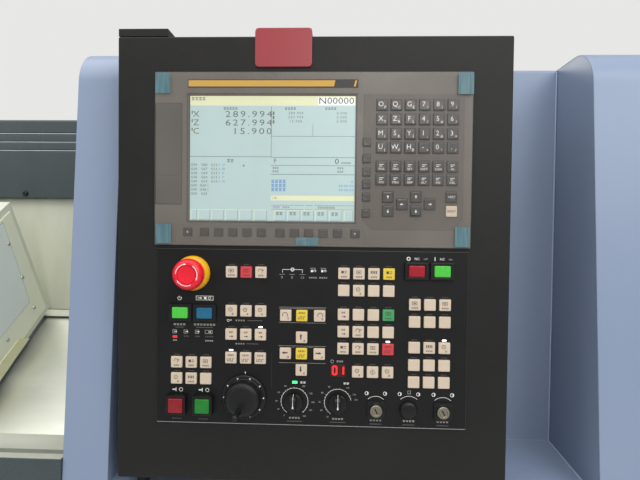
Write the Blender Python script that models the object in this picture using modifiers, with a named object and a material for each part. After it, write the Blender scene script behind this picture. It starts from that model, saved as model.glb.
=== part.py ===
# Turning lathe with a swivelling operator panel
# +X is right as seen from the front, +Y is to the rear and +Z is up.
# The origin is on the floor under the middle of the machine.

import math

import bmesh
import bpy
from mathutils import Matrix, Vector

# Whole machine
LENGTH = 3.300
DEPTH = 1.600
COVER_TOP = 1.650
COVER_BOTTOM = 0.120
SHEET = 0.003
GAP = 0.0003

# Front of the covers, which leans back a little above its knee
FACE_SETBACK = 0.0356
LEAN_HEIGHT = COVER_TOP - 0.252
LEAN = 0.077
KNEE = COVER_TOP - 0.700
CORNER_RADIUS = 0.055
CORNER_STEPS = 6

# Operator panel and the bay that it hangs in
PANEL_WIDTH = 0.500
PANEL_HEIGHT = 0.570
PANEL_DEPTH = 0.110
PANEL_BELOW_TOP = 0.010
PANEL_TOP = COVER_TOP - PANEL_BELOW_TOP
PANEL_WALL = 0.0025
BAY_LEFT = 0.268
BAY_RIGHT = 0.373
BAY_DEPTH = 0.160
COLUMN_WIDTH = 0.062
RIGHT_CASE_WIDTH = 0.347
LEDGE_DROP = 0.576
LEDGE_FALL = 0.0714
PIVOT_INSET = 0.025
PIVOT_DEPTH = 0.025
PIVOT_RADIUS = 0.008
PIVOT_PLATE_LENGTH = 0.064
PIVOT_PLATE_THICK = 0.0094

# Display unit, in panel measures from the centre line and the top edge
UNIT_LEFT = -0.2010
UNIT_RIGHT = 0.2000
UNIT_TOP = 0.0455
UNIT_BOTTOM = 0.2656
UNIT_PROUD = 0.003
UNIT_DEPTH = 0.060
UNIT_LIP = 0.012
SCREEN_LEFT = -0.1570
SCREEN_TOP = 0.0748
SCREEN_WIDTH = 0.2112
SCREEN_HEIGHT = 0.1588
SCREEN_RECESS = 0.002
SCREEN_THICK = 0.004
UNIT_KEY = 0.014
UNIT_KEY_RISE = 0.0016

# Lower key plate
PLATE_LEFT = -0.198
PLATE_RIGHT = 0.198
PLATE_TOP = 0.270
PLATE_BOTTOM = 0.495
PLATE_PROUD = 0.0025
PLATE_BACK = 0.005
KEY_SIZE = 0.0145
KEY_PITCH = 0.019
KEY_RISE = 0.0022

# Illuminated buttons
FRAME_WIDTH = 0.030
FRAME_HEIGHT = 0.022
FRAME_RISE = 0.004
LENS_WIDTH = 0.020
LENS_HEIGHT = 0.014
LENS_RISE = 0.0015
SHROUD_SIZE = 0.025
SHROUD_RISE = 0.010
SQUARE_LENS = 0.0185
BUTTON_BACK = 0.004
BUTTON_PLAY = 0.0003

# Emergency stop
STOP_X = -0.1508
STOP_DOWN = 0.3011
COLLAR_RADIUS = 0.0222
COLLAR_RISE = 0.009
STEM_RADIUS = 0.012
STEM_BACK = 0.006
STOP_RADIUS = 0.0198
STOP_UNDER = 0.0158
STOP_TOP = 0.0305
STOP_BORE_DEPTH = 0.008

# Handwheel, knobs and locks
WHEEL_X = -0.0836
WHEEL_DOWN = 0.4590
WHEEL_RADIUS = 0.0287
WHEEL_CAP_RADIUS = 0.0192
WHEEL_FLANGE = 0.004
WHEEL_RISE = 0.018
CRANK_RADIUS = 0.0138
CRANK_ANGLE = 253.5
GRIP_RADIUS = 0.0045
GRIP_REACH = 0.045
KNOB_RADIUS = 0.0115
KNOB_DISC = 0.005
KNOB_BAR_WIDTH = 0.008
KNOB_RISE = 0.016
LOCK_RADIUS = 0.008
LOCK_RISE = 0.006
LOCK_BASE = 0.023
LOCK_BASE_RISE = 0.0025
PLUG_RADIUS = 0.011
PLUG_RISE = 0.006

# Red clip on the top edge of the panel
CLIP_LEFT = -0.0734
CLIP_WIDTH = 0.0721
CLIP_TOP = 0.0095
CLIP_DROP = 0.0394
CLIP_SHEET = 0.0025
CLIP_DEPTH = 0.030

# Door, sill and upper rail
DOOR_THICK = 0.035
DOOR_CLEAR = 0.010
DOOR_OVERLAP = 0.010
OPENING_HEIGHT = 0.563
SILL_TOP = COVER_TOP - OPENING_HEIGHT
SILL_HEIGHT = 0.057
SILL_DEPTH = 0.075
GROOVE_WIDTH = 0.012
GROOVE_DEPTH = 0.012
LIP_WIDTH = 0.011
WINDOW_SIDE = 0.230
WINDOW_LOW = SILL_TOP + 0.093
WINDOW_HIGH = WINDOW_LOW + 0.300
WINDOW_THICK = 0.012
WINDOW_REBATE = 0.010
HANDLE_INSET = 0.090
HANDLE_LOW = WINDOW_LOW + 0.030
HANDLE_HIGH = HANDLE_LOW + 0.260
HANDLE_STAND = 0.040
HANDLE_RADIUS = 0.009
BEAM_INSET = 0.555
BEAM_FRONT = -DEPTH / 2 + BEAM_INSET
BEAM_DEPTH = 0.060
BEAM_HEIGHT = 0.186
BEAM_TOP = COVER_TOP - 0.002
BEAM_BOTTOM = BEAM_TOP - BEAM_HEIGHT

# Slanted bed, in measures along the slope and square to it
SLOPE_INSET = 0.100
SLOPE_Y = -DEPTH / 2 + SLOPE_INSET
SLOPE_BELOW_SILL = 0.234
SLOPE_Z = SILL_TOP - SLOPE_BELOW_SILL
SLOPE_RISE = 0.700
BED_DROP = 0.085
BED_LOW = 0.140
BED_HIGH = 0.600
BED_LEFT = -1.500
BED_RIGHT = 0.940
BED_DEPTH = 0.850
BED_REAR = SLOPE_Y + BED_DEPTH
BED_SHOULDER = 0.100
RAIL_LOW_AT = 0.200
RAIL_HIGH_AT = 0.500
RAIL_WIDTH = 0.035
RAIL_HEIGHT = 0.030
RAIL_LEFT = -0.500
RAIL_RIGHT = 0.800
WALL_BEHIND_BEAM = 0.017
WALL_Y = BEAM_FRONT + WALL_BEHIND_BEAM
BULKHEAD_X = -0.560
END_WALL_X = 0.950

# Base, feet and chip drawer
BASE_BELOW_SLOPE = 0.293
BASE_TOP = SLOPE_Z - BASE_BELOW_SLOPE
FOOT_HEIGHT = 0.060
FOOT_RADIUS = 0.055
FOOT_SIDE = 0.150
BASE_FRONT = SLOPE_Y + 0.100
DRAWER_LEFT = -0.450
DRAWER_RIGHT = 0.550
DRAWER_FLOOR = 0.130
DRAWER_TOP = BASE_TOP - 0.140
DRAWER_BACK = BASE_FRONT + 0.330
DRAWER_WALL = 0.004
PULL_LENGTH = 0.220
PULL_STAND = 0.030
PULL_RADIUS = 0.007

# Spindle, chuck and jaws
SPINDLE_AT = 0.270
SPINDLE_UP = 0.165
SHAFT_RADIUS = 0.045
SHAFT_BORE = 0.026
SHAFT_PLAY = 0.001
SHAFT_REAR = -1.600
FLANGE_RADIUS = 0.070
FLANGE_THICK = 0.015
NOSE_RADIUS = 0.095
HEAD_FOOT_LOW = SPINDLE_AT - 0.130
HEAD_FOOT_HIGH = SPINDLE_AT + 0.190
HEAD_TOP_LOW = SPINDLE_AT - 0.033
HEAD_TOP_HIGH = SPINDLE_AT + 0.170
HEAD_UP = SPINDLE_UP + 0.125
HEAD_LEFT = -1.450
HEAD_RIGHT = -0.900
CHUCK_RADIUS = 0.110
CHUCK_THICK = 0.080
JAW_INNER = 0.040
JAW_LENGTH = 0.058
JAW_WIDTH = 0.032
JAW_THICK = 0.030
JAW_KEY_WIDTH = 0.014
JAW_KEY_DEPTH = 0.010
JAW_TRAVEL = 0.004

# Carriage and turret
SIDE_PLANE = 0.649
CARRIAGE_WIDTH = 0.341
CARRIAGE_UP = 0.026
CARRIAGE_REAR_LOW = 0.572
CARRIAGE_REAR_HIGH = 0.599
CARRIAGE_FRONT_HIGH = 0.450
CARRIAGE_FRONT_LOW = 0.250
CARRIAGE_HIGH = 0.304
PLATE_INSET = 0.014
SADDLE_INSET = 0.015
SADDLE_LOW = 0.120
SADDLE_HIGH = 0.560
SADDLE_UNDER = 0.060
DISC_AT = 0.510
DISC_RADIUS = 0.100
DISC_THICK = 0.060
DISC_STAND = 0.010
DISC_HUB = 0.030
TOOL_REACH = 0.122
TOOL_SIZE = 0.022
TOOL_STATIONS = 8

# Telescoping covers of the slope
COVER_SHEET = 0.002
COVER_LOW = 0.070
COVER_HIGH = 0.562
MIDDLE_LEFT = 0.566
NEAR_LENGTH = 0.334
MIDDLE_LENGTH = 0.336
FIXED_LEFT = 0.500
LEFT_LENGTH = 0.510

# Lamp, electrical cabinet and its fittings
LAMP_LEFT = -0.450
LAMP_LENGTH = 0.420
LAMP_SIZE = 0.036
CABINET_LEFT = 0.250
CABINET_WIDTH = 1.000
CABINET_LOW = 0.450
CABINET_HIGH = COVER_TOP - 0.100
CABINET_DEPTH = 0.165
CABINET_DOOR = 0.020
CABINET_FITTING = 0.020
LEVER_LENGTH = 0.130
LEVER_WIDTH = 0.026
SWITCH_RADIUS = 0.032

# Places that follow from the sizes above
PANEL_X = LENGTH / 2 - RIGHT_CASE_WIDTH - BAY_RIGHT
PANEL_Y = -DEPTH / 2 + GRIP_REACH
REAR_Y = DEPTH / 2 - CABINET_FITTING - CABINET_DOOR - CABINET_DEPTH
LEFT_END = -LENGTH / 2
RIGHT_END = LENGTH / 2
COLUMN_RIGHT = PANEL_X - BAY_LEFT
COLUMN_LEFT = COLUMN_RIGHT - COLUMN_WIDTH
CASE_LEFT = PANEL_X + BAY_RIGHT
COVER_BACK = BEAM_FRONT - GAP
SLOPE_ANGLE = math.atan(SLOPE_RISE)
FACING_FRONT = (math.pi / 2, 0, 0)


# Scene, collections and materials

for old in list(bpy.data.objects):
    bpy.data.objects.remove(old)

machine = bpy.data.collections.new("cnc_turning_lathe")
cutters = bpy.data.collections.new("cutters")
bpy.context.scene.collection.children.link(machine)
bpy.context.scene.collection.children.link(cutters)


def paint(name, colour, roughness, metallic=0.0):
    material = bpy.data.materials.new(name)
    material.use_nodes = True
    shader = material.node_tree.nodes["Principled BSDF"]
    shader.inputs["Base Color"].default_value = (*colour, 1)
    shader.inputs["Roughness"].default_value = roughness
    shader.inputs["Metallic"].default_value = metallic
    material.diffuse_color = (*colour, 1)
    return material


lilac = paint("lilac_blue_enamel", (0.30, 0.40, 0.60), 0.45)
black_coat = paint("black_powder_coat", (0.030, 0.029, 0.028), 0.55)
beam_black = paint("dark_green_black_enamel", (0.050, 0.065, 0.065), 0.35)
cream = paint("cream_enamel", (0.62, 0.62, 0.45), 0.5)
cast_grey = paint("grey_casting_paint", (0.20, 0.22, 0.22), 0.6)
steel = paint("ground_steel", (0.55, 0.55, 0.54), 0.3, 1.0)
sheet_steel = paint("galvanised_sheet", (0.60, 0.60, 0.52), 0.4, 0.9)
glass = paint("laminated_glass", (0.35, 0.42, 0.42), 0.08)
key_black = paint("black_moulding", (0.035, 0.034, 0.033), 0.45)
screen_grey = paint("pale_display", (0.50, 0.66, 0.67), 0.15)
red = paint("red_moulding", (0.70, 0.02, 0.03), 0.3)
yellow = paint("yellow_moulding", (0.80, 0.42, 0.01), 0.35)
green = paint("green_lens", (0.06, 0.55, 0.10), 0.25)
blue = paint("blue_lens", (0.02, 0.14, 0.30), 0.25)
dark_red = paint("dark_red_lens", (0.26, 0.01, 0.02), 0.25)
lamp_white = paint("lamp_tube", (0.85, 0.86, 0.80), 0.3)


# Modelling helpers

def finish(obj, name, material, place=machine):
    obj.name = name
    obj.data.name = name
    obj.data.materials.clear()
    if material:
        obj.data.materials.append(material)
    for collection in list(obj.users_collection):
        collection.objects.unlink(obj)
    place.objects.link(obj)
    return obj


def helper(obj):
    """Turns an object into a hidden cutter or addition."""
    for collection in list(obj.users_collection):
        collection.objects.unlink(obj)
    cutters.objects.link(obj)
    obj.hide_render = True
    obj.display_type = "WIRE"
    return obj


def box(name, low, high, material=None):
    """A block between two corners, with its origin at its centre."""
    centre = [(a + b) / 2 for a, b in zip(low, high)]
    bpy.ops.mesh.primitive_cube_add(size=1, location=centre)
    obj = bpy.context.active_object
    size = Vector([b - a for a, b in zip(low, high)])
    obj.data.transform(Matrix.Diagonal((*size, 1)))
    return finish(obj, name, material)


def rod(name, start, end, radius, material=None, sides=32):
    """A cylinder from one centre to the other."""
    start = Vector(start)
    end = Vector(end)
    along = end - start
    turn = along.to_track_quat("Z", "Y").to_euler()
    bpy.ops.mesh.primitive_cylinder_add(
        vertices=sides, radius=radius, depth=along.length,
        location=(start + end) / 2, rotation=turn)
    obj = finish(bpy.context.active_object, name, material)
    smooth(obj)
    return obj


def smooth(obj):
    obj.data.shade_smooth()
    obj.data.set_sharp_from_angle(angle=math.radians(35))


def as_mesh(curve_object, name, material):
    """The mesh of a curve with its caps welded, in the curve's place."""
    bpy.context.view_layer.update()
    graph = bpy.context.evaluated_depsgraph_get()
    mesh = bpy.data.meshes.new_from_object(curve_object.evaluated_get(graph))
    shape = bmesh.new()
    shape.from_mesh(mesh)
    bmesh.ops.remove_doubles(shape, verts=shape.verts, dist=0.00005)
    shape.to_mesh(mesh)
    shape.free()
    obj = bpy.data.objects.new(name, mesh)
    obj.matrix_world = curve_object.matrix_world.copy()
    bpy.data.objects.remove(curve_object)
    machine.objects.link(obj)
    return finish(obj, name, material)


def outline(name, points, thickness, placing, material=None):
    """A flat outline of 2D points, thickened both ways from its plane."""
    curve = bpy.data.curves.new(name, "CURVE")
    curve.dimensions = "2D"
    curve.fill_mode = "BOTH"
    curve.extrude = thickness / 2
    line = curve.splines.new("POLY")
    line.points.add(len(points) - 1)
    for point, (a, b) in zip(line.points, points):
        point.co = (a, b, 0, 1)
    line.use_cyclic_u = True
    obj = bpy.data.objects.new(name, curve)
    machine.objects.link(obj)
    obj.matrix_world = placing
    return as_mesh(obj, name, material)


def along_x(name, points, left, right, material=None):
    """A (Y, Z) outline that runs from one X to another."""
    placing = Matrix(((0, 0, 1, (left + right) / 2), (1, 0, 0, 0), (0, 1, 0, 0), (0, 0, 0, 1)))
    return outline(name, points, right - left, placing, material)


def turned(name, profile, location, rotation, material, steps=32):
    """A profile of (radius, height) from the top of its axis down its outer side."""
    mesh = bpy.data.meshes.new(name)
    edges = [(i, i + 1) for i in range(len(profile) - 1)]
    mesh.from_pydata([(radius, 0, height) for radius, height in profile], edges, [])
    obj = bpy.data.objects.new(name, mesh)
    machine.objects.link(obj)
    obj.location = location
    obj.rotation_euler = rotation
    screw = obj.modifiers.new("turn", "SCREW")
    screw.steps = steps
    screw.render_steps = steps
    screw.use_merge_vertices = True
    screw.merge_threshold = 0.00001
    screw.use_smooth_shade = True
    return finish(obj, name, material)


def boolean(obj, other, operation):
    modifier = obj.modifiers.new(operation.lower(), "BOOLEAN")
    modifier.operation = operation
    modifier.solver = "EXACT"
    modifier.object = helper(other)
    return obj


def cut(obj, *others):
    for other in others:
        boolean(obj, other, "DIFFERENCE")
    return obj


def join(obj, *others):
    for other in others:
        boolean(obj, other, "UNION")
    return obj


def blocks(name, places, width, height, low, high):
    """One mesh of separate upright blocks on the panel, at (x, down) centres."""
    shape = bmesh.new()
    for x, down in places:
        centre = panel(x, down, (low + high) / 2)
        size = Matrix.Diagonal((width, abs(high - low), height, 1))
        bmesh.ops.create_cube(shape, size=1, matrix=Matrix.Translation(centre) @ size)
    mesh = bpy.data.meshes.new(name)
    shape.to_mesh(mesh)
    shape.free()
    obj = bpy.data.objects.new(name, mesh)
    machine.objects.link(obj)
    return obj


def panel(x, down, inward=0.0):
    """World place of a point given from the panel's centre line, top edge and face."""
    return Vector((PANEL_X + x, PANEL_Y + inward, PANEL_TOP - down))


def slope(along, up):
    """(Y, Z) of a point given along the slope and square to it."""
    y = SLOPE_Y + along * math.cos(SLOPE_ANGLE) - up * math.sin(SLOPE_ANGLE)
    z = SLOPE_Z + along * math.sin(SLOPE_ANGLE) + up * math.cos(SLOPE_ANGLE)
    return (y, z)


def front_y(z):
    return PANEL_Y + FACE_SETBACK + (max(z, KNEE) - LEAN_HEIGHT) * LEAN


def cover_path(inset, bottom, back):
    """(Y, Z) points up the front of the covers, round the top corner and back."""
    lean = math.atan(LEAN)
    corner_z = COVER_TOP - CORNER_RADIUS
    corner_y = front_y(corner_z) + CORNER_RADIUS / math.cos(lean)
    radius = CORNER_RADIUS - inset
    points = [(front_y(bottom) + inset / math.cos(lean), bottom)]
    if bottom < KNEE:
        points.append((front_y(KNEE) + inset / math.cos(lean), KNEE))
    for step in range(CORNER_STEPS + 1):
        turn = math.pi - lean - (math.pi / 2 - lean) * step / CORNER_STEPS
        points.append((corner_y + radius * math.cos(turn), corner_z + radius * math.sin(turn)))
    points.append((back, COVER_TOP - inset))
    return points


def cover_area(inset, bottom, back):
    return cover_path(inset, bottom, back) + [(back, bottom)]


def from_slope(pairs):
    return [slope(along, up) for along, up in pairs]


def rounded_run(start, out, end, bend, steps=3):
    """Points of a bar that leaves two ends along out and turns with rounded corners."""
    start = Vector(start)
    end = Vector(end)
    out = Vector(out)
    reach = out.length
    away = out.normalized()
    along = (end - start).normalized()
    points = [start]
    for step in range(steps + 1):
        turn = math.pi / 2 * step / steps
        points.append(start + away * (reach - bend + bend * math.sin(turn)) + along * bend * (1 - math.cos(turn)))
    for step in range(steps + 1):
        turn = math.pi / 2 * (1 - step / steps)
        points.append(end + away * (reach - bend + bend * math.sin(turn)) - along * bend * (1 - math.cos(turn)))
    points.append(end)
    return points


def bar(name, points, radius, material):
    """A round bar with closed ends."""
    curve = bpy.data.curves.new(name, "CURVE")
    curve.dimensions = "3D"
    curve.bevel_depth = radius
    curve.bevel_resolution = 2
    curve.use_fill_caps = True
    line = curve.splines.new("POLY")
    line.points.add(len(points) - 1)
    for point, place in zip(line.points, points):
        point.co = (*place, 1)
    obj = bpy.data.objects.new(name, curve)
    machine.objects.link(obj)
    return as_mesh(obj, name, material)


def pivot(name, location, *pieces):
    """An empty on a joint's axis that carries the pieces that move about it."""
    empty = bpy.data.objects.new(name, None)
    empty.empty_display_size = 0.05
    machine.objects.link(empty)
    empty.location = location
    bpy.context.view_layer.update()
    for piece in pieces:
        piece.parent = empty
        piece.matrix_parent_inverse = empty.matrix_world.inverted()
    return empty


# Base with its feet

base = box(
    "machine_base",
    (LEFT_END + SHEET + GAP, BASE_FRONT, FOOT_HEIGHT),
    (RIGHT_END - SHEET - GAP, REAR_Y - SHEET - GAP, BASE_TOP),
    cast_grey)
cut(base, box(
    "drawer_tunnel",
    (DRAWER_LEFT - 0.0015, BASE_FRONT - 0.01, DRAWER_FLOOR),
    (DRAWER_RIGHT + 0.0015, DRAWER_BACK + 0.01, DRAWER_TOP + 0.03)))
for foot_x in (-1, -0.34, 0.34, 1):
    for foot_y in (BASE_FRONT + 0.08, REAR_Y - 0.10):
        spot = foot_x * (LENGTH / 2 - FOOT_SIDE)
        join(base, rod("foot", (spot, foot_y, 0), (spot, foot_y, FOOT_HEIGHT + 0.01), FOOT_RADIUS, None, 16))

# Slanted bed and its two rails

bed_foot = slope(BED_LOW, -BED_DROP)
bed_head = slope(BED_HIGH, -BED_DROP)
along_x(
    "slant_bed",
    [(bed_foot[0], BASE_TOP + GAP), bed_foot, bed_head, (BED_REAR - BED_SHOULDER, bed_head[1]), (BED_REAR, BASE_TOP + GAP)],
    BED_LEFT, BED_RIGHT, cast_grey)

RAIL_TOP = -BED_DROP + GAP + RAIL_HEIGHT
for name, place in (("z_rail_lower", RAIL_LOW_AT), ("z_rail_upper", RAIL_HIGH_AT)):
    low = place - RAIL_WIDTH / 2
    high = place + RAIL_WIDTH / 2
    foot = -BED_DROP + GAP
    along_x(
        name, from_slope([(low, foot), (low, RAIL_TOP), (high, RAIL_TOP), (high, foot)]),
        RAIL_LEFT, RAIL_RIGHT, steel)

# Covers: left end, right end and the skirt below the door

SKIRT_TOP = SILL_TOP - SILL_HEIGHT - GAP
SILL_FRONT = front_y(SILL_TOP - SILL_HEIGHT)
SILL_BACK = SILL_FRONT + SILL_DEPTH
DOOR_INSET = DOOR_THICK + DOOR_CLEAR

left_area = cover_path(DOOR_INSET, SILL_TOP + GAP, COVER_BACK)
left_area += [(COVER_BACK, SKIRT_TOP + GAP), (SILL_BACK + GAP, SKIRT_TOP + GAP), (SILL_BACK + GAP, SILL_TOP + GAP)]
left_cover = along_x("left_cover", left_area, LEFT_END, BULKHEAD_X - GAP, lilac)
cut(left_cover, along_x(
    "left_cover_inside", cover_area(DOOR_INSET + SHEET, SKIRT_TOP - 0.01, COVER_BACK + 0.01),
    LEFT_END + SHEET, BULKHEAD_X + 0.01))

right_cover = along_x(
    "right_cover", cover_area(0, COVER_BOTTOM, COVER_BACK), CASE_LEFT, RIGHT_END, lilac)
cut(
    right_cover,
    along_x(
        "right_cover_inside", cover_area(SHEET, COVER_BOTTOM - 0.01, COVER_BACK + 0.01),
        CASE_LEFT + SHEET, RIGHT_END - SHEET),
    box(
        "right_cover_base_gap", (CASE_LEFT - 0.01, BASE_FRONT - 0.01, 0),
        (CASE_LEFT + SHEET + 0.01, 0, BASE_TOP + 0.01)))

skirt_area = [
    (front_y(COVER_BOTTOM), COVER_BOTTOM), (front_y(KNEE), KNEE), (front_y(SKIRT_TOP), SKIRT_TOP),
    (COVER_BACK, SKIRT_TOP), (COVER_BACK, COVER_BOTTOM)]
skirt_hollow = [
    (front_y(COVER_BOTTOM) + SHEET, COVER_BOTTOM - 0.01), (front_y(KNEE) + SHEET, KNEE),
    (front_y(SKIRT_TOP) + SHEET, SKIRT_TOP - SHEET), (COVER_BACK + 0.01, SKIRT_TOP - SHEET),
    (COVER_BACK + 0.01, COVER_BOTTOM - 0.01)]
front_skirt = along_x("front_skirt", skirt_area, LEFT_END, COLUMN_LEFT - GAP, lilac)
cut(
    front_skirt,
    along_x("skirt_inside", skirt_hollow, LEFT_END + SHEET, COLUMN_LEFT + 0.01),
    box(
        "skirt_open_top", (LEFT_END + SHEET, SILL_BACK, SKIRT_TOP - 0.01),
        (COLUMN_LEFT + 0.01, COVER_BACK + 0.01, SKIRT_TOP + 0.01)),
    box(
        "drawer_mouth", (DRAWER_LEFT - 0.0015, PANEL_Y - 0.05, COVER_BOTTOM - 0.01),
        (DRAWER_RIGHT + 0.0015, PANEL_Y + 0.05, DRAWER_TOP + 0.0015)))

# Sill with the groove that guides the door

door_sill = box(
    "door_sill", (LEFT_END, SILL_FRONT, SILL_TOP - SILL_HEIGHT),
    (COLUMN_LEFT - GAP, SILL_BACK, SILL_TOP), beam_black)
GROOVE_Y = front_y(SILL_TOP) + DOOR_THICK / 2
cut(door_sill, box(
    "sill_groove", (LEFT_END - 0.01, GROOVE_Y - GROOVE_WIDTH / 2, SILL_TOP - GROOVE_DEPTH),
    (COLUMN_LEFT + 0.01, GROOVE_Y + GROOVE_WIDTH / 2, SILL_TOP + 0.01)))

# Upper rail beam, and the housing behind it

box(
    "top_rail_beam", (LEFT_END, BEAM_FRONT, BEAM_BOTTOM),
    (CASE_LEFT - GAP, BEAM_FRONT + BEAM_DEPTH, BEAM_TOP), beam_black)

rear_housing = box(
    "rear_housing", (LEFT_END, BEAM_FRONT, COVER_BOTTOM), (RIGHT_END, REAR_Y, BEAM_TOP), lilac)
cut(
    rear_housing,
    box(
        "housing_inside", (LEFT_END + SHEET, BEAM_FRONT - 0.01, COVER_BOTTOM - 0.01),
        (RIGHT_END - SHEET, REAR_Y - SHEET, BEAM_TOP - SHEET)),
    box(
        "beam_notch", (LEFT_END - 0.01, BEAM_FRONT - 0.01, BEAM_BOTTOM - GAP),
        (CASE_LEFT, BEAM_FRONT + BEAM_DEPTH + GAP, BEAM_TOP + 0.01)))

# Bay for the panel, with the column beside the door opening

BAY_WALL = PANEL_Y + BAY_DEPTH


def ledge_z(y):
    return PANEL_TOP - LEDGE_DROP - (BAY_WALL - y) * LEDGE_FALL


LEDGE_BACK = ledge_z(BAY_WALL)
LEDGE_FRONT = ledge_z(PANEL_Y)
TROUGH_Y = SILL_BACK + GAP
panel_bay = along_x(
    "panel_bay", cover_area(0, COVER_BOTTOM, COVER_BACK), COLUMN_LEFT, CASE_LEFT - GAP, lilac)
cut(
    panel_bay,
    along_x(
        "bay_recess",
        [(PANEL_Y - 0.05, ledge_z(PANEL_Y - 0.05)), (PANEL_Y - 0.05, COVER_TOP + 0.05),
         (BAY_WALL, COVER_TOP + 0.05), (BAY_WALL, LEDGE_BACK)],
        COLUMN_RIGHT, CASE_LEFT + 0.01),
    along_x(
        "bay_inside",
        [(front_y(COVER_BOTTOM) + SHEET, COVER_BOTTOM - 0.01), (front_y(KNEE) + SHEET, KNEE),
         (front_y(LEDGE_FRONT) + SHEET, ledge_z(front_y(LEDGE_FRONT) + SHEET) - SHEET),
         (BAY_WALL + SHEET, LEDGE_BACK - SHEET),
         (BAY_WALL + SHEET, COVER_TOP - SHEET), (COVER_BACK + 0.01, COVER_TOP - SHEET),
         (COVER_BACK + 0.01, COVER_BOTTOM - 0.01)],
        COLUMN_RIGHT, CASE_LEFT + 0.01),
    along_x(
        "column_inside", cover_area(SHEET, COVER_BOTTOM - 0.01, COVER_BACK + 0.01),
        COLUMN_LEFT + SHEET, COLUMN_RIGHT - SHEET),
    along_x(
        "column_back_gap",
        [(BAY_WALL + SHEET, COVER_TOP - SHEET - 0.0005), (COVER_BACK + 0.02, COVER_TOP - SHEET - 0.0005),
         (COVER_BACK + 0.02, COVER_BOTTOM - 0.02), (TROUGH_Y, COVER_BOTTOM - 0.02),
         (TROUGH_Y, LEDGE_BACK - 0.03), (BAY_WALL + SHEET, LEDGE_BACK - 0.03)],
        COLUMN_LEFT - 0.01, COLUMN_RIGHT + 0.01))

# Sheet lining of the working space

WALL_BACK = WALL_Y + SHEET / 2


def slope_at(y, up):
    """The place at a given Y on a line parallel to the slope."""
    along = (y - SLOPE_Y + up * math.sin(SLOPE_ANGLE)) / math.cos(SLOPE_ANGLE)
    return slope(along, up)


BULKHEAD_UP = 0.010
END_WALL_UP = 3 * COVER_SHEET + 3 * GAP
spindle_y, spindle_z = slope(SPINDLE_AT, SPINDLE_UP)
liner = box(
    "work_area_liner",
    (BULKHEAD_X + SHEET / 2, WALL_Y, slope_at(WALL_Y, BULKHEAD_UP)[1]),
    (END_WALL_X - SHEET / 2, WALL_Y + SHEET, BEAM_BOTTOM - GAP), cream)
left_wall = cover_path(DOOR_INSET, SILL_TOP + GAP, COVER_BACK)
left_wall += [(COVER_BACK, BEAM_BOTTOM - 0.001), (WALL_BACK, BEAM_BOTTOM - 0.001)]
left_wall += [slope_at(WALL_BACK, BULKHEAD_UP), slope_at(SILL_BACK + 0.008, BULKHEAD_UP)]
left_wall += [(SILL_BACK + 0.008, SILL_TOP + GAP)]
BAY_BACK = BAY_WALL + SHEET + GAP
end_wall = [
    (BAY_BACK, COVER_TOP - SHEET - GAP), (COVER_BACK, COVER_TOP - SHEET - GAP),
    (COVER_BACK, BEAM_BOTTOM - 0.001), (WALL_BACK, BEAM_BOTTOM - 0.001),
    slope_at(WALL_BACK, END_WALL_UP), slope_at(BAY_BACK, END_WALL_UP)]
join(
    liner,
    along_x("left_bulkhead", left_wall, BULKHEAD_X, BULKHEAD_X + SHEET),
    along_x("right_bulkhead", end_wall, END_WALL_X - SHEET, END_WALL_X))
cut(liner, rod(
    "bulkhead_hole", (BULKHEAD_X - 0.01, spindle_y, spindle_z),
    (BULKHEAD_X + 0.02, spindle_y, spindle_z), FLANGE_RADIUS + 0.0025))

lamp_low = BEAM_BOTTOM - 0.012 - LAMP_SIZE
work_lamp = box(
    "work_lamp", (LAMP_LEFT, WALL_Y - GAP - LAMP_SIZE, lamp_low),
    (LAMP_LEFT + LAMP_LENGTH, WALL_Y - GAP, lamp_low + LAMP_SIZE), lamp_white)

# Headstock, spindle, chuck and jaws

headstock = along_x(
    "headstock",
    from_slope([
        (HEAD_FOOT_LOW, -BED_DROP + GAP), (HEAD_FOOT_HIGH, -BED_DROP + GAP),
        (HEAD_TOP_HIGH, HEAD_UP), (HEAD_TOP_LOW, HEAD_UP)]),
    HEAD_LEFT, HEAD_RIGHT, cast_grey)


def axis_point(x):
    return (x, spindle_y, spindle_z)


join(headstock, rod(
    "headstock_nose", axis_point(HEAD_RIGHT - 0.02), axis_point(BULKHEAD_X - 2 * GAP), NOSE_RADIUS))
cut(headstock, rod(
    "headstock_bore", axis_point(HEAD_LEFT - 0.05), axis_point(BULKHEAD_X + 0.05),
    SHAFT_RADIUS + SHAFT_PLAY))

FLANGE_RIGHT = BULKHEAD_X + FLANGE_THICK
CHUCK_LEFT = FLANGE_RIGHT + GAP
CHUCK_FACE = CHUCK_LEFT + CHUCK_THICK
shaft = rod("spindle_shaft", axis_point(SHAFT_REAR), axis_point(BULKHEAD_X + 0.002), SHAFT_RADIUS, steel)
join(shaft, rod("spindle_flange", axis_point(BULKHEAD_X), axis_point(FLANGE_RIGHT), FLANGE_RADIUS))
cut(shaft, rod(
    "spindle_bore", axis_point(SHAFT_REAR - 0.05), axis_point(FLANGE_RIGHT + 0.05), SHAFT_BORE))

chuck = rod("chuck_body", axis_point(CHUCK_LEFT), axis_point(CHUCK_FACE), CHUCK_RADIUS, steel)
cut(chuck, rod(
    "chuck_bore", axis_point(CHUCK_LEFT - 0.05), axis_point(CHUCK_FACE + 0.05), SHAFT_BORE))


def jaw_frame(turn):
    """Local Z is the jaw's radial direction and local X the spindle's axis."""
    return Matrix.Translation(axis_point(CHUCK_FACE)) @ Matrix.Rotation(turn, 4, "X")


def in_frame(obj, frame):
    obj.matrix_world = frame @ obj.matrix_basis
    return obj


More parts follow.
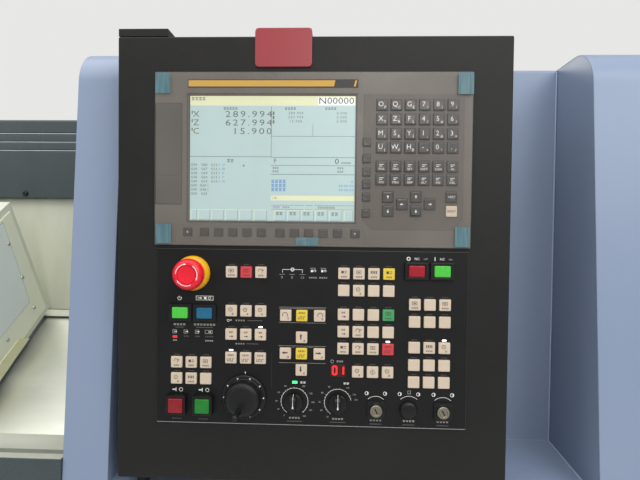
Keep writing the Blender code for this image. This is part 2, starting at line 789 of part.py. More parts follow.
jaws = []
for number in range(3):
    frame = jaw_frame(number * 2 * math.pi / 3)
    slot = box(
        "jaw_slot", (-JAW_KEY_DEPTH, -JAW_KEY_WIDTH / 2 - GAP, JAW_INNER - JAW_TRAVEL - 0.001),
        (0.02, JAW_KEY_WIDTH / 2 + GAP, CHUCK_RADIUS + 0.02))
    cut(chuck, in_frame(slot, frame))
    outer = JAW_INNER + JAW_LENGTH
    jaw = in_frame(box(
        f"chuck_jaw_{number + 1}", (GAP, -JAW_WIDTH / 2, JAW_INNER),
        (0.6 * JAW_THICK, JAW_WIDTH / 2, outer), steel), frame)
    step = box(
        "jaw_step", (0.3 * JAW_THICK, -0.4 * JAW_WIDTH, JAW_INNER + 0.3 * JAW_LENGTH),
        (JAW_THICK, 0.4 * JAW_WIDTH, outer - 0.001))
    key = box(
        "jaw_key", (-JAW_KEY_DEPTH + GAP, -JAW_KEY_WIDTH / 2, JAW_INNER + 0.001),
        (0.004, JAW_KEY_WIDTH / 2, outer - 0.002))
    join(jaw, in_frame(step, frame), in_frame(key, frame))
    jaws.append(jaw)
pivot("spindle_axis", axis_point(CHUCK_FACE), shaft, chuck, *jaws)

# Saddle, cross slide and turret

CARRIAGE_RIGHT = PANEL_X - SIDE_PLANE
CARRIAGE_LEFT = CARRIAGE_RIGHT - CARRIAGE_WIDTH
SADDLE_LEFT = CARRIAGE_LEFT + SADDLE_INSET
SADDLE_RIGHT = CARRIAGE_RIGHT - SADDLE_INSET
SADDLE_TOP = CARRIAGE_UP - GAP
NOTCH = RAIL_WIDTH / 2 + GAP
saddle = along_x(
    "saddle",
    from_slope([
        (SADDLE_LOW, -SADDLE_UNDER), (SADDLE_LOW, SADDLE_TOP), (SADDLE_HIGH, SADDLE_TOP),
        (SADDLE_HIGH, -SADDLE_UNDER),
        (RAIL_HIGH_AT + NOTCH, -SADDLE_UNDER), (RAIL_HIGH_AT + NOTCH, RAIL_TOP + GAP),
        (RAIL_HIGH_AT - NOTCH, RAIL_TOP + GAP), (RAIL_HIGH_AT - NOTCH, -SADDLE_UNDER),
        (RAIL_LOW_AT + NOTCH, -SADDLE_UNDER), (RAIL_LOW_AT + NOTCH, RAIL_TOP + GAP),
        (RAIL_LOW_AT - NOTCH, RAIL_TOP + GAP), (RAIL_LOW_AT - NOTCH, -SADDLE_UNDER)]),
    SADDLE_LEFT, SADDLE_RIGHT, cast_grey)

disc_y, disc_z = slope(DISC_AT, SPINDLE_UP)
carriage_corners = [
    (CARRIAGE_REAR_LOW, CARRIAGE_UP), (CARRIAGE_REAR_HIGH, CARRIAGE_HIGH),
    (CARRIAGE_FRONT_HIGH, CARRIAGE_HIGH), (CARRIAGE_FRONT_LOW, CARRIAGE_UP)]
cross_slide = along_x(
    "cross_slide", from_slope(carriage_corners),
    CARRIAGE_LEFT, CARRIAGE_RIGHT - SHEET - GAP, cream)
DISC_RIGHT = CARRIAGE_LEFT - DISC_STAND
DISC_LEFT = DISC_RIGHT - DISC_THICK
join(cross_slide, rod(
    "turret_hub", (DISC_LEFT + 0.01, disc_y, disc_z), (CARRIAGE_LEFT + 0.01, disc_y, disc_z), DISC_HUB))
side_plate = along_x(
    "carriage_side_plate",
    from_slope([
        (CARRIAGE_REAR_LOW - PLATE_INSET, CARRIAGE_UP + PLATE_INSET),
        (CARRIAGE_REAR_HIGH - PLATE_INSET, CARRIAGE_HIGH - PLATE_INSET),
        (CARRIAGE_FRONT_HIGH + PLATE_INSET, CARRIAGE_HIGH - PLATE_INSET),
        (CARRIAGE_FRONT_LOW + 2 * PLATE_INSET, CARRIAGE_UP + PLATE_INSET)]),
    CARRIAGE_RIGHT - SHEET, CARRIAGE_RIGHT, cream)

disc = rod(
    "turret_disc", (DISC_LEFT, disc_y, disc_z), (DISC_RIGHT, disc_y, disc_z), DISC_RADIUS,
    steel, TOOL_STATIONS)
cut(disc, rod(
    "disc_bore", (DISC_LEFT - 0.01, disc_y, disc_z), (DISC_RIGHT + 0.01, disc_y, disc_z),
    DISC_HUB + 2 * GAP))
tools = bmesh.new()
for station in range(TOOL_STATIONS):
    turn = Matrix.Rotation(station * 2 * math.pi / TOOL_STATIONS, 4, "X")
    middle = Matrix.Translation((0, 0, (TOOL_REACH + 0.06) / 2))
    size = Matrix.Diagonal((TOOL_SIZE + 0.01, TOOL_SIZE, TOOL_REACH - 0.06, 1))
    bmesh.ops.create_cube(tools, size=1, matrix=turn @ middle @ size)
tool_mesh = bpy.data.meshes.new("tool_holders")
tools.to_mesh(tool_mesh)
tools.free()
tool_blocks = bpy.data.objects.new("tool_holders", tool_mesh)
machine.objects.link(tool_blocks)
tool_blocks.location = (DISC_LEFT - TOOL_SIZE / 2 + 0.005, disc_y, disc_z)
join(disc, tool_blocks)
pivot("turret_axis", (DISC_LEFT, disc_y, disc_z), disc)

# Sheets that telescope over the rails


def slope_sheet(name, layer, left, right):
    low = layer * (COVER_SHEET + GAP)
    corners = [
        (COVER_LOW, low), (COVER_LOW, low + COVER_SHEET),
        (COVER_HIGH, low + COVER_SHEET), (COVER_HIGH, low)]
    return along_x(name, from_slope(corners), left, right, sheet_steel)


near_cover = slope_sheet("way_cover_near", 0, SADDLE_RIGHT + GAP, SADDLE_RIGHT + GAP + NEAR_LENGTH)
left_sheet = slope_sheet("way_cover_left", 0, SADDLE_LEFT - GAP - LEFT_LENGTH, SADDLE_LEFT - GAP)
middle_left = PANEL_X - MIDDLE_LEFT
middle_cover = slope_sheet("way_cover_middle", 1, middle_left, middle_left + MIDDLE_LENGTH)
slope_sheet("way_cover_fixed", 2, FIXED_LEFT, END_WALL_X)
pivot("z_slide_start", (SADDLE_LEFT, *slope(RAIL_LOW_AT, 0)), saddle, near_cover, left_sheet)
pivot("x_slide_start", (CARRIAGE_LEFT, *slope(CARRIAGE_FRONT_LOW, CARRIAGE_UP)), cross_slide, side_plate)

# Sliding door, parked to the left of its opening

DOOR_WIDTH = COLUMN_LEFT - GAP - BULKHEAD_X + DOOR_OVERLAP
door_left = LEFT_END
door_right = LEFT_END + DOOR_WIDTH
door_low = SILL_TOP + GAP
door_shape = cover_path(0, door_low, COVER_BACK) + cover_path(DOOR_THICK, door_low, COVER_BACK)[::-1]
sliding_door = along_x("sliding_door", door_shape, door_left, door_right, lilac)
join(
    sliding_door,
    box(
        "door_lip", (door_left, GROOVE_Y - LIP_WIDTH / 2, SILL_TOP - GROOVE_DEPTH + GAP),
        (door_right, GROOVE_Y + LIP_WIDTH / 2, SILL_TOP + 0.012)),
    box(
        "door_hook", (door_left, BEAM_FRONT - 0.01, BEAM_TOP + GAP),
        (door_right, BEAM_FRONT + BEAM_DEPTH / 2, COVER_TOP - 0.0002)))
cut(sliding_door, box(
    "window_hole", (door_left + WINDOW_SIDE, PANEL_Y - 0.1, WINDOW_LOW),
    (door_right - WINDOW_SIDE, PANEL_Y + 0.15, WINDOW_HIGH)))
pane = [
    (front_y(WINDOW_LOW + GAP) + WINDOW_REBATE, WINDOW_LOW + GAP),
    (front_y(WINDOW_HIGH - GAP) + WINDOW_REBATE, WINDOW_HIGH - GAP),
    (front_y(WINDOW_HIGH - GAP) + WINDOW_REBATE + WINDOW_THICK, WINDOW_HIGH - GAP),
    (front_y(WINDOW_LOW + GAP) + WINDOW_REBATE + WINDOW_THICK, WINDOW_LOW + GAP)]
door_window = along_x(
    "door_window", pane, door_left + WINDOW_SIDE + GAP, door_right - WINDOW_SIDE - GAP, glass)
handle_x = door_right - HANDLE_INSET
door_handle = bar(
    "door_handle",
    rounded_run(
        (handle_x, front_y(HANDLE_LOW - HANDLE_RADIUS) - GAP, HANDLE_LOW),
        (0, -HANDLE_STAND, 0),
        (handle_x, front_y(HANDLE_LOW - HANDLE_RADIUS) - GAP, HANDLE_HIGH), 0.02),
    HANDLE_RADIUS, black_coat)
door_handle_foot = rod(
    "handle_foot", (handle_x, front_y(HANDLE_HIGH - HANDLE_RADIUS) - GAP, HANDLE_HIGH),
    (handle_x, front_y(HANDLE_LOW) - 0.006, HANDLE_HIGH), HANDLE_RADIUS, None, 12)
join(door_handle, door_handle_foot)
pivot("door_slide_start", (door_right, GROOVE_Y, door_low), sliding_door, door_window, door_handle)

# Chip drawer under the slope

drawer_face = front_y(COVER_BOTTOM)
chip_drawer = box(
    "chip_drawer", (DRAWER_LEFT, drawer_face, DRAWER_FLOOR + GAP),
    (DRAWER_RIGHT, DRAWER_BACK, DRAWER_TOP), cast_grey)
cut(chip_drawer, box(
    "drawer_inside", (DRAWER_LEFT + DRAWER_WALL, drawer_face + DRAWER_WALL, DRAWER_FLOOR + DRAWER_WALL),
    (DRAWER_RIGHT - DRAWER_WALL, DRAWER_BACK - DRAWER_WALL, DRAWER_TOP + 0.01)))
pull_x = (DRAWER_LEFT + DRAWER_RIGHT) / 2
pull_z = DRAWER_TOP - 0.07
pull = bar(
    "drawer_pull",
    rounded_run(
        (pull_x - PULL_LENGTH / 2, drawer_face + 0.002, pull_z), (0, -PULL_STAND, 0),
        (pull_x + PULL_LENGTH / 2, drawer_face + 0.002, pull_z), 0.015),
    PULL_RADIUS, None)
join(chip_drawer, pull)
pivot("drawer_slide_start", (pull_x, drawer_face, DRAWER_FLOOR), chip_drawer)

# Electrical cabinet on the back

CABINET_RIGHT = CABINET_LEFT + CABINET_WIDTH
CABINET_BACK = REAR_Y + CABINET_DEPTH
cabinet = box(
    "electrical_cabinet", (CABINET_LEFT, REAR_Y + GAP, CABINET_LOW),
    (CABINET_RIGHT, CABINET_BACK - GAP, CABINET_HIGH), lilac)
cut(cabinet, box(
    "cabinet_inside", (CABINET_LEFT + SHEET, REAR_Y + GAP + SHEET, CABINET_LOW + SHEET),
    (CABINET_RIGHT - SHEET, CABINET_BACK + 0.01, CABINET_HIGH - SHEET)))
DOOR_BACK = CABINET_BACK + CABINET_DOOR
cabinet_door = box(
    "cabinet_door", (CABINET_LEFT, CABINET_BACK, CABINET_LOW),
    (CABINET_RIGHT, DOOR_BACK - GAP, CABINET_HIGH), lilac)
lever_x = CABINET_LEFT + 0.07
cabinet_middle = (CABINET_LOW + CABINET_HIGH) / 2
cabinet_handle = box(
    "cabinet_handle", (lever_x - LEVER_WIDTH / 2, DOOR_BACK, cabinet_middle - LEVER_LENGTH),
    (lever_x + LEVER_WIDTH / 2, DEPTH / 2, cabinet_middle + LEVER_WIDTH / 2), black_coat)
switch_x = CABINET_LEFT + 0.30
switch_z = CABINET_HIGH - 0.15
main_switch = rod(
    "main_switch", (switch_x, DOOR_BACK, switch_z), (switch_x, DEPTH / 2 - 0.002, switch_z),
    SWITCH_RADIUS, red, 24)
lever_axis = pivot("cabinet_lever_axis", (lever_x, DOOR_BACK, cabinet_middle), cabinet_handle)
switch_axis = pivot("main_switch_axis", (switch_x, DOOR_BACK, switch_z), main_switch)
pivot("cabinet_hinge", (CABINET_RIGHT, DOOR_BACK, cabinet_middle), cabinet_door, lever_axis, switch_axis)

# Operator panel box, its clip and its pivot

HALF = PANEL_WIDTH / 2


def panel_box_shape(name, x0, x1, top, bottom, front, back, material=None):
    """A block on the panel, given from its centre line, top edge and face."""
    return box(name, panel(x0, bottom, front), panel(x1, top, back), material)


panel_body = panel_box_shape("panel_box", -HALF, HALF, 0, PANEL_HEIGHT, 0, PANEL_DEPTH, black_coat)
pivot_x = -HALF + PIVOT_INSET
cut(
    panel_body,
    panel_box_shape(
        "panel_inside", -HALF + PANEL_WALL, HALF - PANEL_WALL, PANEL_WALL, PANEL_HEIGHT - PANEL_WALL,
        PANEL_WALL, PANEL_DEPTH - PANEL_WALL),
    panel_box_shape(
        "unit_hole", UNIT_LEFT + UNIT_LIP, UNIT_RIGHT - UNIT_LIP, UNIT_TOP + UNIT_LIP,
        UNIT_BOTTOM - UNIT_LIP, -0.01, PANEL_WALL + 0.01),
    panel_box_shape(
        "plate_hole", PLATE_LEFT + 0.008, PLATE_RIGHT - 0.008, PLATE_TOP + 0.008,
        PLATE_BOTTOM - 0.008, -0.01, PANEL_WALL + 0.01),
    rod(
        "pivot_holes", panel(pivot_x, -0.02, PIVOT_DEPTH),
        panel(pivot_x, PANEL_HEIGHT + 0.02, PIVOT_DEPTH), PIVOT_RADIUS + 0.0005, None, 16))

PLATE_LIFT = 0.0012
pivot_plate = panel_box_shape(
    "panel_pivot_plate", -HALF, -HALF + PIVOT_PLATE_LENGTH, -PLATE_LIFT - PIVOT_PLATE_THICK,
    -PLATE_LIFT, 0.002, BAY_DEPTH - GAP, black_coat)
rod_foot = PANEL_TOP - ledge_z(PANEL_Y + PIVOT_DEPTH + PIVOT_RADIUS) - GAP
join(pivot_plate, rod(
    "pivot_rod", panel(pivot_x, -PLATE_LIFT - 0.004, PIVOT_DEPTH),
    panel(pivot_x, rod_foot, PIVOT_DEPTH), PIVOT_RADIUS, None, 16))

clip = panel_box_shape(
    "red_top_clip", CLIP_LEFT, CLIP_LEFT + CLIP_WIDTH, -CLIP_TOP, CLIP_DROP,
    -GAP - CLIP_SHEET, CLIP_DEPTH, red)
edges = clip.modifiers.new("soft_edges", "BEVEL")
edges.width = 0.001
edges.segments = 1
cut(
    clip,
    panel_box_shape(
        "clip_over_panel", CLIP_LEFT - 0.01, CLIP_LEFT + CLIP_WIDTH + 0.01, -GAP, CLIP_DROP + 0.01,
        -GAP, CLIP_DEPTH + 0.01),
    panel_box_shape(
        "clip_hollow", CLIP_LEFT - 0.01, CLIP_LEFT + CLIP_WIDTH + 0.01, -CLIP_TOP + CLIP_SHEET,
        0.001, -GAP, CLIP_DEPTH - CLIP_SHEET))

# Display unit with its keys

unit = panel_box_shape(
    "cnc_unit", UNIT_LEFT, UNIT_RIGHT, UNIT_TOP, UNIT_BOTTOM, -UNIT_PROUD, -GAP, key_black)
unit_body = panel_box_shape(
    "unit_body", UNIT_LEFT + UNIT_LIP + GAP, UNIT_RIGHT - UNIT_LIP - GAP, UNIT_TOP + UNIT_LIP + GAP,
    UNIT_BOTTOM - UNIT_LIP - GAP, -UNIT_PROUD / 2, UNIT_DEPTH)
SOFT_KEY_DOWN = 0.2485
SOFT_KEY_XS = [-0.1600] + [-0.1376 + 0.0183 * n for n in range(5)] + [-0.0415 + 0.0183 * n for n in range(5)] + [0.0557]
SIDE_KEY_X = 0.0689
SIDE_KEY_DOWNS = [0.1330 + 0.0180 * n for n in range(6)]
LETTER_XS = [0.0880 + 0.01775 * n for n in range(6)]
LETTER_DOWNS = (0.0856, 0.1041, 0.1219, 0.1395, 0.1625, 0.1803)
ARROW_KEYS = [
    (0.0965, 0.2010), (0.0965, 0.2190), (0.1145, 0.2107), (0.1312, 0.2014),
    (0.1312, 0.2192), (0.1495, 0.2107), (0.1764, 0.2008), (0.1764, 0.2188)]
letter_keys = [(x, down) for down in LETTER_DOWNS for x in LETTER_XS]
join(
    unit, unit_body,
    blocks(
        "soft_keys", [(x, SOFT_KEY_DOWN) for x in SOFT_KEY_XS], 0.0100, 0.0090,
        -UNIT_PROUD - UNIT_KEY_RISE, -UNIT_PROUD / 2),
    blocks(
        "side_keys", [(SIDE_KEY_X, down) for down in SIDE_KEY_DOWNS], 0.0090, 0.0100,
        -UNIT_PROUD - UNIT_KEY_RISE, -UNIT_PROUD / 2),
    blocks(
        "letter_keys", letter_keys + ARROW_KEYS, UNIT_KEY, UNIT_KEY,
        -UNIT_PROUD - UNIT_KEY_RISE, -UNIT_PROUD / 2))
screen_right = SCREEN_LEFT + SCREEN_WIDTH
screen_bottom = SCREEN_TOP + SCREEN_HEIGHT
cut(unit, panel_box_shape(
    "screen_pocket", SCREEN_LEFT - GAP, screen_right + GAP, SCREEN_TOP - GAP, screen_bottom + GAP,
    -0.02, -UNIT_PROUD + SCREEN_RECESS + SCREEN_THICK + GAP))
screen = panel_box_shape(
    "lcd_screen", SCREEN_LEFT, screen_right, SCREEN_TOP, screen_bottom,
    -UNIT_PROUD + SCREEN_RECESS, -UNIT_PROUD + SCREEN_RECESS + SCREEN_THICK, screen_grey)

# Key plate with its keys, frames and holes

key_plate = panel_box_shape(
    "key_plate", PLATE_LEFT, PLATE_RIGHT, PLATE_TOP, PLATE_BOTTOM, -PLATE_PROUD, -GAP, key_black)
plate_body = panel_box_shape(
    "plate_body", PLATE_LEFT + 0.008 + GAP, PLATE_RIGHT - 0.008 - GAP, PLATE_TOP + 0.008 + GAP,
    PLATE_BOTTOM - 0.008 - GAP, -PLATE_PROUD / 2, PLATE_BACK)


def key_row(first_x, down, count):
    return [(first_x + KEY_PITCH * n, down) for n in range(count)]


keys = key_row(-0.1727, 0.4170, 3) + key_row(-0.1727, 0.4380, 3)
for down in (0.2993, 0.3492, 0.3796, 0.4100):
    keys += key_row(-0.1020, down, 3)
keys += [(-0.0317, 0.3540), (-0.0110, 0.3540), (0.0118, 0.3540), (-0.0110, 0.3820)]
keys += [(-0.0317, 0.4030), (-0.0110, 0.4030), (0.0118, 0.4030), (-0.0110, 0.4240)]
for down in (0.2992, 0.3209, 0.3516, 0.3736, 0.3953):
    keys += key_row(0.0422, down, 4)
keys += key_row(0.0612, 0.4248, 3)
for down in (0.3375, 0.3595, 0.3923, 0.4146, 0.4365):
    keys += key_row(0.1324, down, 3)

BUTTONS = {
    "power_on_button": (-0.1664, 0.3518, green),
    "door_unlock_button": (-0.1351, 0.3518, blue),
    "nc_off_button": (0.1332, 0.2944, dark_red),
    "nc_on_button": (0.1651, 0.2944, green)}
SQUARE_BUTTONS = {
    "feed_hold_button": (-0.1699, 0.4695, dark_red),
    "cycle_start_button": (-0.1357, 0.4695, green)}
LOCKS = {"key_lock_left": (0.0848, 0.4722), "key_lock_right": (0.1690, 0.4722)}
PLUG_X = 0.1257
PLUG_DOWN = 0.4707
KNOBS = {"feed_override_knob": (-0.0199, 0.4643), "spindle_override_knob": (0.0364, 0.4642)}

plate_front = -PLATE_PROUD
join(
    key_plate, plate_body,
    blocks("small_keys", keys, KEY_SIZE, KEY_SIZE, plate_front - KEY_RISE, plate_front / 2),
    blocks(
        "button_frames", [(x, down) for x, down, _ in BUTTONS.values()], FRAME_WIDTH, FRAME_HEIGHT,
        plate_front - FRAME_RISE, plate_front / 2),
    blocks(
        "button_shrouds", [(x, down) for x, down, _ in SQUARE_BUTTONS.values()], SHROUD_SIZE,
        SHROUD_SIZE, plate_front - SHROUD_RISE, plate_front / 2),
    blocks(
        "lock_bases", list(LOCKS.values()), LOCK_BASE, LOCK_BASE,
        plate_front - LOCK_BASE_RISE, plate_front / 2))
play = 2 * BUTTON_PLAY
cut(
    key_plate,
    blocks(
        "lens_holes", [(x, down) for x, down, _ in BUTTONS.values()], LENS_WIDTH + play,
        LENS_HEIGHT + play, -0.03, 0.02),
    blocks(
        "square_holes", [(x, down) for x, down, _ in SQUARE_BUTTONS.values()], SQUARE_LENS + play,
        SQUARE_LENS + play, -0.03, 0.02))
holes = [(STOP_X, STOP_DOWN, STEM_RADIUS + 2 * GAP), (PLUG_X, PLUG_DOWN, PLUG_RADIUS / 2 + GAP)]
holes += [(x, down, LOCK_RADIUS + 2 * GAP) for x, down in LOCKS.values()]
for x, down, radius in holes:
    cut(key_plate, rod("plate_bore", panel(x, down, -0.03), panel(x, down, 0.03), radius, None, 24))

# Push buttons


def push_button(name, x, down, width, height, front, material):
    lens = panel_box_shape(
        name, x - width / 2, x + width / 2, down - height / 2, down + height / 2,
        front, BUTTON_BACK, material)
    pivot(name + "_start", panel(x, down, front), lens)
    return lens


panel_pieces = [panel_body, clip, unit, screen, key_plate]
for name, (x, down, colour) in BUTTONS.items():
    face = plate_front - FRAME_RISE - LENS_RISE
    panel_pieces.append(push_button(name, x, down, LENS_WIDTH, LENS_HEIGHT, face, colour))
for name, (x, down, colour) in SQUARE_BUTTONS.items():
    face = plate_front - SHROUD_RISE - LENS_RISE
    panel_pieces.append(push_button(name, x, down, SQUARE_LENS, SQUARE_LENS, face, colour))

# Emergency stop: collar, stem and head

collar = rod(
    "estop_collar", panel(STOP_X, STOP_DOWN, plate_front - COLLAR_RISE),
    panel(STOP_X, STOP_DOWN, plate_front - GAP), COLLAR_RADIUS, yellow, 40)
cut(collar, rod(
    "collar_hole", panel(STOP_X, STOP_DOWN, -0.03), panel(STOP_X, STOP_DOWN, 0.01),
    STEM_RADIUS + 2 * GAP, None, 24))
stem_end = -STOP_UNDER - STOP_BORE_DEPTH + GAP
stem = rod(
    "estop_stem", panel(STOP_X, STOP_DOWN, stem_end), panel(STOP_X, STOP_DOWN, STEM_BACK),
    STEM_RADIUS, key_black, 24)
stop_profile = [(0, STOP_TOP - 0.002), (STOP_RADIUS * 0.55, STOP_TOP), (STOP_RADIUS * 0.88, STOP_TOP - 0.003),
                (STOP_RADIUS, STOP_TOP - 0.009), (STOP_RADIUS * 0.98, STOP_UNDER + 0.003),
                (STOP_RADIUS * 0.85, STOP_UNDER), (0, STOP_UNDER)]
stop_head = turned("estop_head", stop_profile, panel(STOP_X, STOP_DOWN), FACING_FRONT, red, 32)
cut(stop_head, rod(
    "head_bore", panel(STOP_X, STOP_DOWN, -STOP_UNDER + 0.01),
    panel(STOP_X, STOP_DOWN, -STOP_UNDER - STOP_BORE_DEPTH), STEM_RADIUS + GAP, None, 24))
pivot("estop_axis", panel(STOP_X, STOP_DOWN), stem, stop_head)

# Handwheel with its crank grip

wheel_back = -plate_front + GAP
wheel_top = wheel_back + WHEEL_RISE
flange_top = wheel_back + WHEEL_FLANGE
wheel_profile = [
    (0, wheel_top), (WHEEL_CAP_RADIUS, wheel_top), (WHEEL_CAP_RADIUS + 0.0035, wheel_top - 0.004),
    (WHEEL_CAP_RADIUS + 0.0045, flange_top), (WHEEL_RADIUS - 0.0006, flange_top),
    (WHEEL_RADIUS, flange_top - 0.0006), (WHEEL_RADIUS, wheel_back), (0, wheel_back)]
handwheel = turned("handwheel", wheel_profile, panel(WHEEL_X, WHEEL_DOWN), FACING_FRONT, key_black, 40)
crank = math.radians(CRANK_ANGLE)
grip_x = WHEEL_X + CRANK_RADIUS * math.cos(crank)
grip_down = WHEEL_DOWN - CRANK_RADIUS * math.sin(crank)
grip_profile = [
    (0, GRIP_REACH), (GRIP_RADIUS * 0.8, GRIP_REACH), (GRIP_RADIUS, GRIP_REACH - 0.003),
    (GRIP_RADIUS * 0.8, wheel_top + GAP), (0, wheel_top + GAP)]
grip = turned("handwheel_grip", grip_profile, panel(grip_x, grip_down), FACING_FRONT, key_black, 16)
pivot("handwheel_axis", panel(WHEEL_X, WHEEL_DOWN), handwheel, grip)

# Override knobs

for name, (x, down) in KNOBS.items():
    foot = plate_front - GAP
    knob = rod(name, panel(x, down, foot), panel(x, down, foot - KNOB_DISC), KNOB_RADIUS, key_black, 24)
    join(knob, panel_box_shape(
        "knob_bar", x - KNOB_BAR_WIDTH / 2, x + KNOB_BAR_WIDTH / 2, down - KNOB_RADIUS * 0.98,
        down + KNOB_RADIUS * 0.98, foot - KNOB_RISE, foot - KNOB_DISC / 2))
    pivot(name + "_axis", panel(x, down), knob)
    panel_pieces.append(knob)

# Key locks and the blind plug

for name, (x, down) in LOCKS.items():
    lock = rod(
        name, panel(x, down, plate_front - LOCK_RISE), panel(x, down, PLATE_BACK),
        LOCK_RADIUS, steel, 24)
    cut(lock, panel_box_shape(
        "key_slot", x - 0.0008, x + 0.0008, down - 0.0035, down + 0.0035,
        plate_front - LOCK_RISE - 0.01, plate_front - LOCK_RISE + 0.003))
    pivot(name + "_axis", panel(x, down), lock)
    panel_pieces.append(lock)
plug = rod(
    "round_plug", panel(PLUG_X, PLUG_DOWN, plate_front - PLUG_RISE),
    panel(PLUG_X, PLUG_DOWN, plate_front - GAP), PLUG_RADIUS, key_black, 24)
join(plug, rod(
    "plug_stem", panel(PLUG_X, PLUG_DOWN, plate_front - 0.003), panel(PLUG_X, PLUG_DOWN, PLATE_BACK),
    PLUG_RADIUS / 2, None, 16))
panel_pieces += [collar, stem, stop_head, handwheel, grip, plug]

# The whole panel swings on its pivot rod

swing = pivot("panel_swing_axis", panel(pivot_x, PANEL_HEIGHT / 2, PIVOT_DEPTH))
for piece in panel_pieces:
    carrier = piece.parent or piece
    if carrier.parent is None:
        carrier.parent = swing
        carrier.matrix_parent_inverse = swing.matrix_world.inverted()
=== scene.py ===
import math

import bmesh
import bpy
from mathutils import Matrix, Vector


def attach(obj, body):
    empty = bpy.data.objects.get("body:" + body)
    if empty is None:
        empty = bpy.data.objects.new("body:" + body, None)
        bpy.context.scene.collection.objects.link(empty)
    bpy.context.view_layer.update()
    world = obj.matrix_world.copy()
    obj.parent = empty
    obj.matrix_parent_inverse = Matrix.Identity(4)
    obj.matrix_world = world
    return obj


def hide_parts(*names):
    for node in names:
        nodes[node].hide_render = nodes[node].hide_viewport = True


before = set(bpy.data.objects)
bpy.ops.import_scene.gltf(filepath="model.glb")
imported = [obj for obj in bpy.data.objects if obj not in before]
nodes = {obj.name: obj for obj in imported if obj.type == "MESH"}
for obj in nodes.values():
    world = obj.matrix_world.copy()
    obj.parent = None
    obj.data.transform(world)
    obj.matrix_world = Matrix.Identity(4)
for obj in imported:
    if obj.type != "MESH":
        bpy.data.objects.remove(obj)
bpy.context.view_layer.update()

print("frame loaded,", len(nodes), "nodes")

view = {
    "place": (0.96418, -1.36570, 1.39759),
    "turn": (1.3599, 2.1495, 0.6540),  # about the picture's x, y and z, in degrees
    "lens": 27.06,
    "sensor": 36.0,
}


def makeCamera():
    tx, ty, tz = (math.radians(a) for a in view["turn"])
    rx = Matrix(((1, 0, 0), (0, math.cos(tx), -math.sin(tx)), (0, math.sin(tx), math.cos(tx))))
    ry = Matrix(((math.cos(ty), 0, math.sin(ty)), (0, 1, 0), (-math.sin(ty), 0, math.cos(ty))))
    rz = Matrix(((math.cos(tz), -math.sin(tz), 0), (math.sin(tz), math.cos(tz), 0), (0, 0, 1)))
    turn = rz @ rx @ ry
    right, down, ahead = (Vector((row.x, row.z, -row.y)) for row in turn)
    data = bpy.data.cameras.new("photoView")
    data.lens = view["lens"]
    data.sensor_width = view["sensor"]
    data.clip_start = 0.01
    camera = bpy.data.objects.new("photoView", data)
    bpy.context.scene.collection.objects.link(camera)
    axes = Matrix((right, -down, -ahead)).transposed().to_4x4()
    camera.matrix_world = Matrix.Translation(view["place"]) @ axes
    bpy.context.scene.camera = camera


makeCamera()


# Shader wiring

def plug(socket, value):
    if isinstance(value, Wire):
        socket.id_data.links.new(value.socket, socket)
    elif isinstance(value, tuple) and len(value) == 3 and socket.type == "RGBA":
        socket.default_value = (*value, 1)
    else:
        socket.default_value = value


def calc(operation, *values):
    tree = next(value.socket.id_data for value in values if isinstance(value, Wire))
    node = tree.nodes.new("ShaderNodeMath")
    node.operation = operation
    for place, value in enumerate(values):
        plug(node.inputs[place], value)
    return Wire(node.outputs[0])


class Wire:
    # a socket that can stand in an expression
    def __init__(self, socket):
        self.socket = socket

    def __add__(self, other):
        return calc("ADD", self, other)

    def __sub__(self, other):
        return calc("SUBTRACT", self, other)

    def __rsub__(self, other):
        return calc("SUBTRACT", other, self)

    def __mul__(self, other):
        return calc("MULTIPLY", self, other)

    def __truediv__(self, other):
        return calc("DIVIDE", self, other)

    def __rtruediv__(self, other):
        return calc("DIVIDE", other, self)

    def __pow__(self, other):
        return calc("POWER", self, other)

    __radd__ = __add__
    __rmul__ = __mul__

    def sharpen(self, low, high):
        # 0 below low, 1 above high
        return calc("MINIMUM", calc("MAXIMUM", (self - low) / (high - low), 0), 1)


def srgb(*levels):
    # screen levels of 0 to 255 as scene colours
    parts = [level / 255 for level in levels]
    return tuple(p / 12.92 if p <= 0.04045 else ((p + 0.055) / 1.055) ** 2.4 for p in parts)


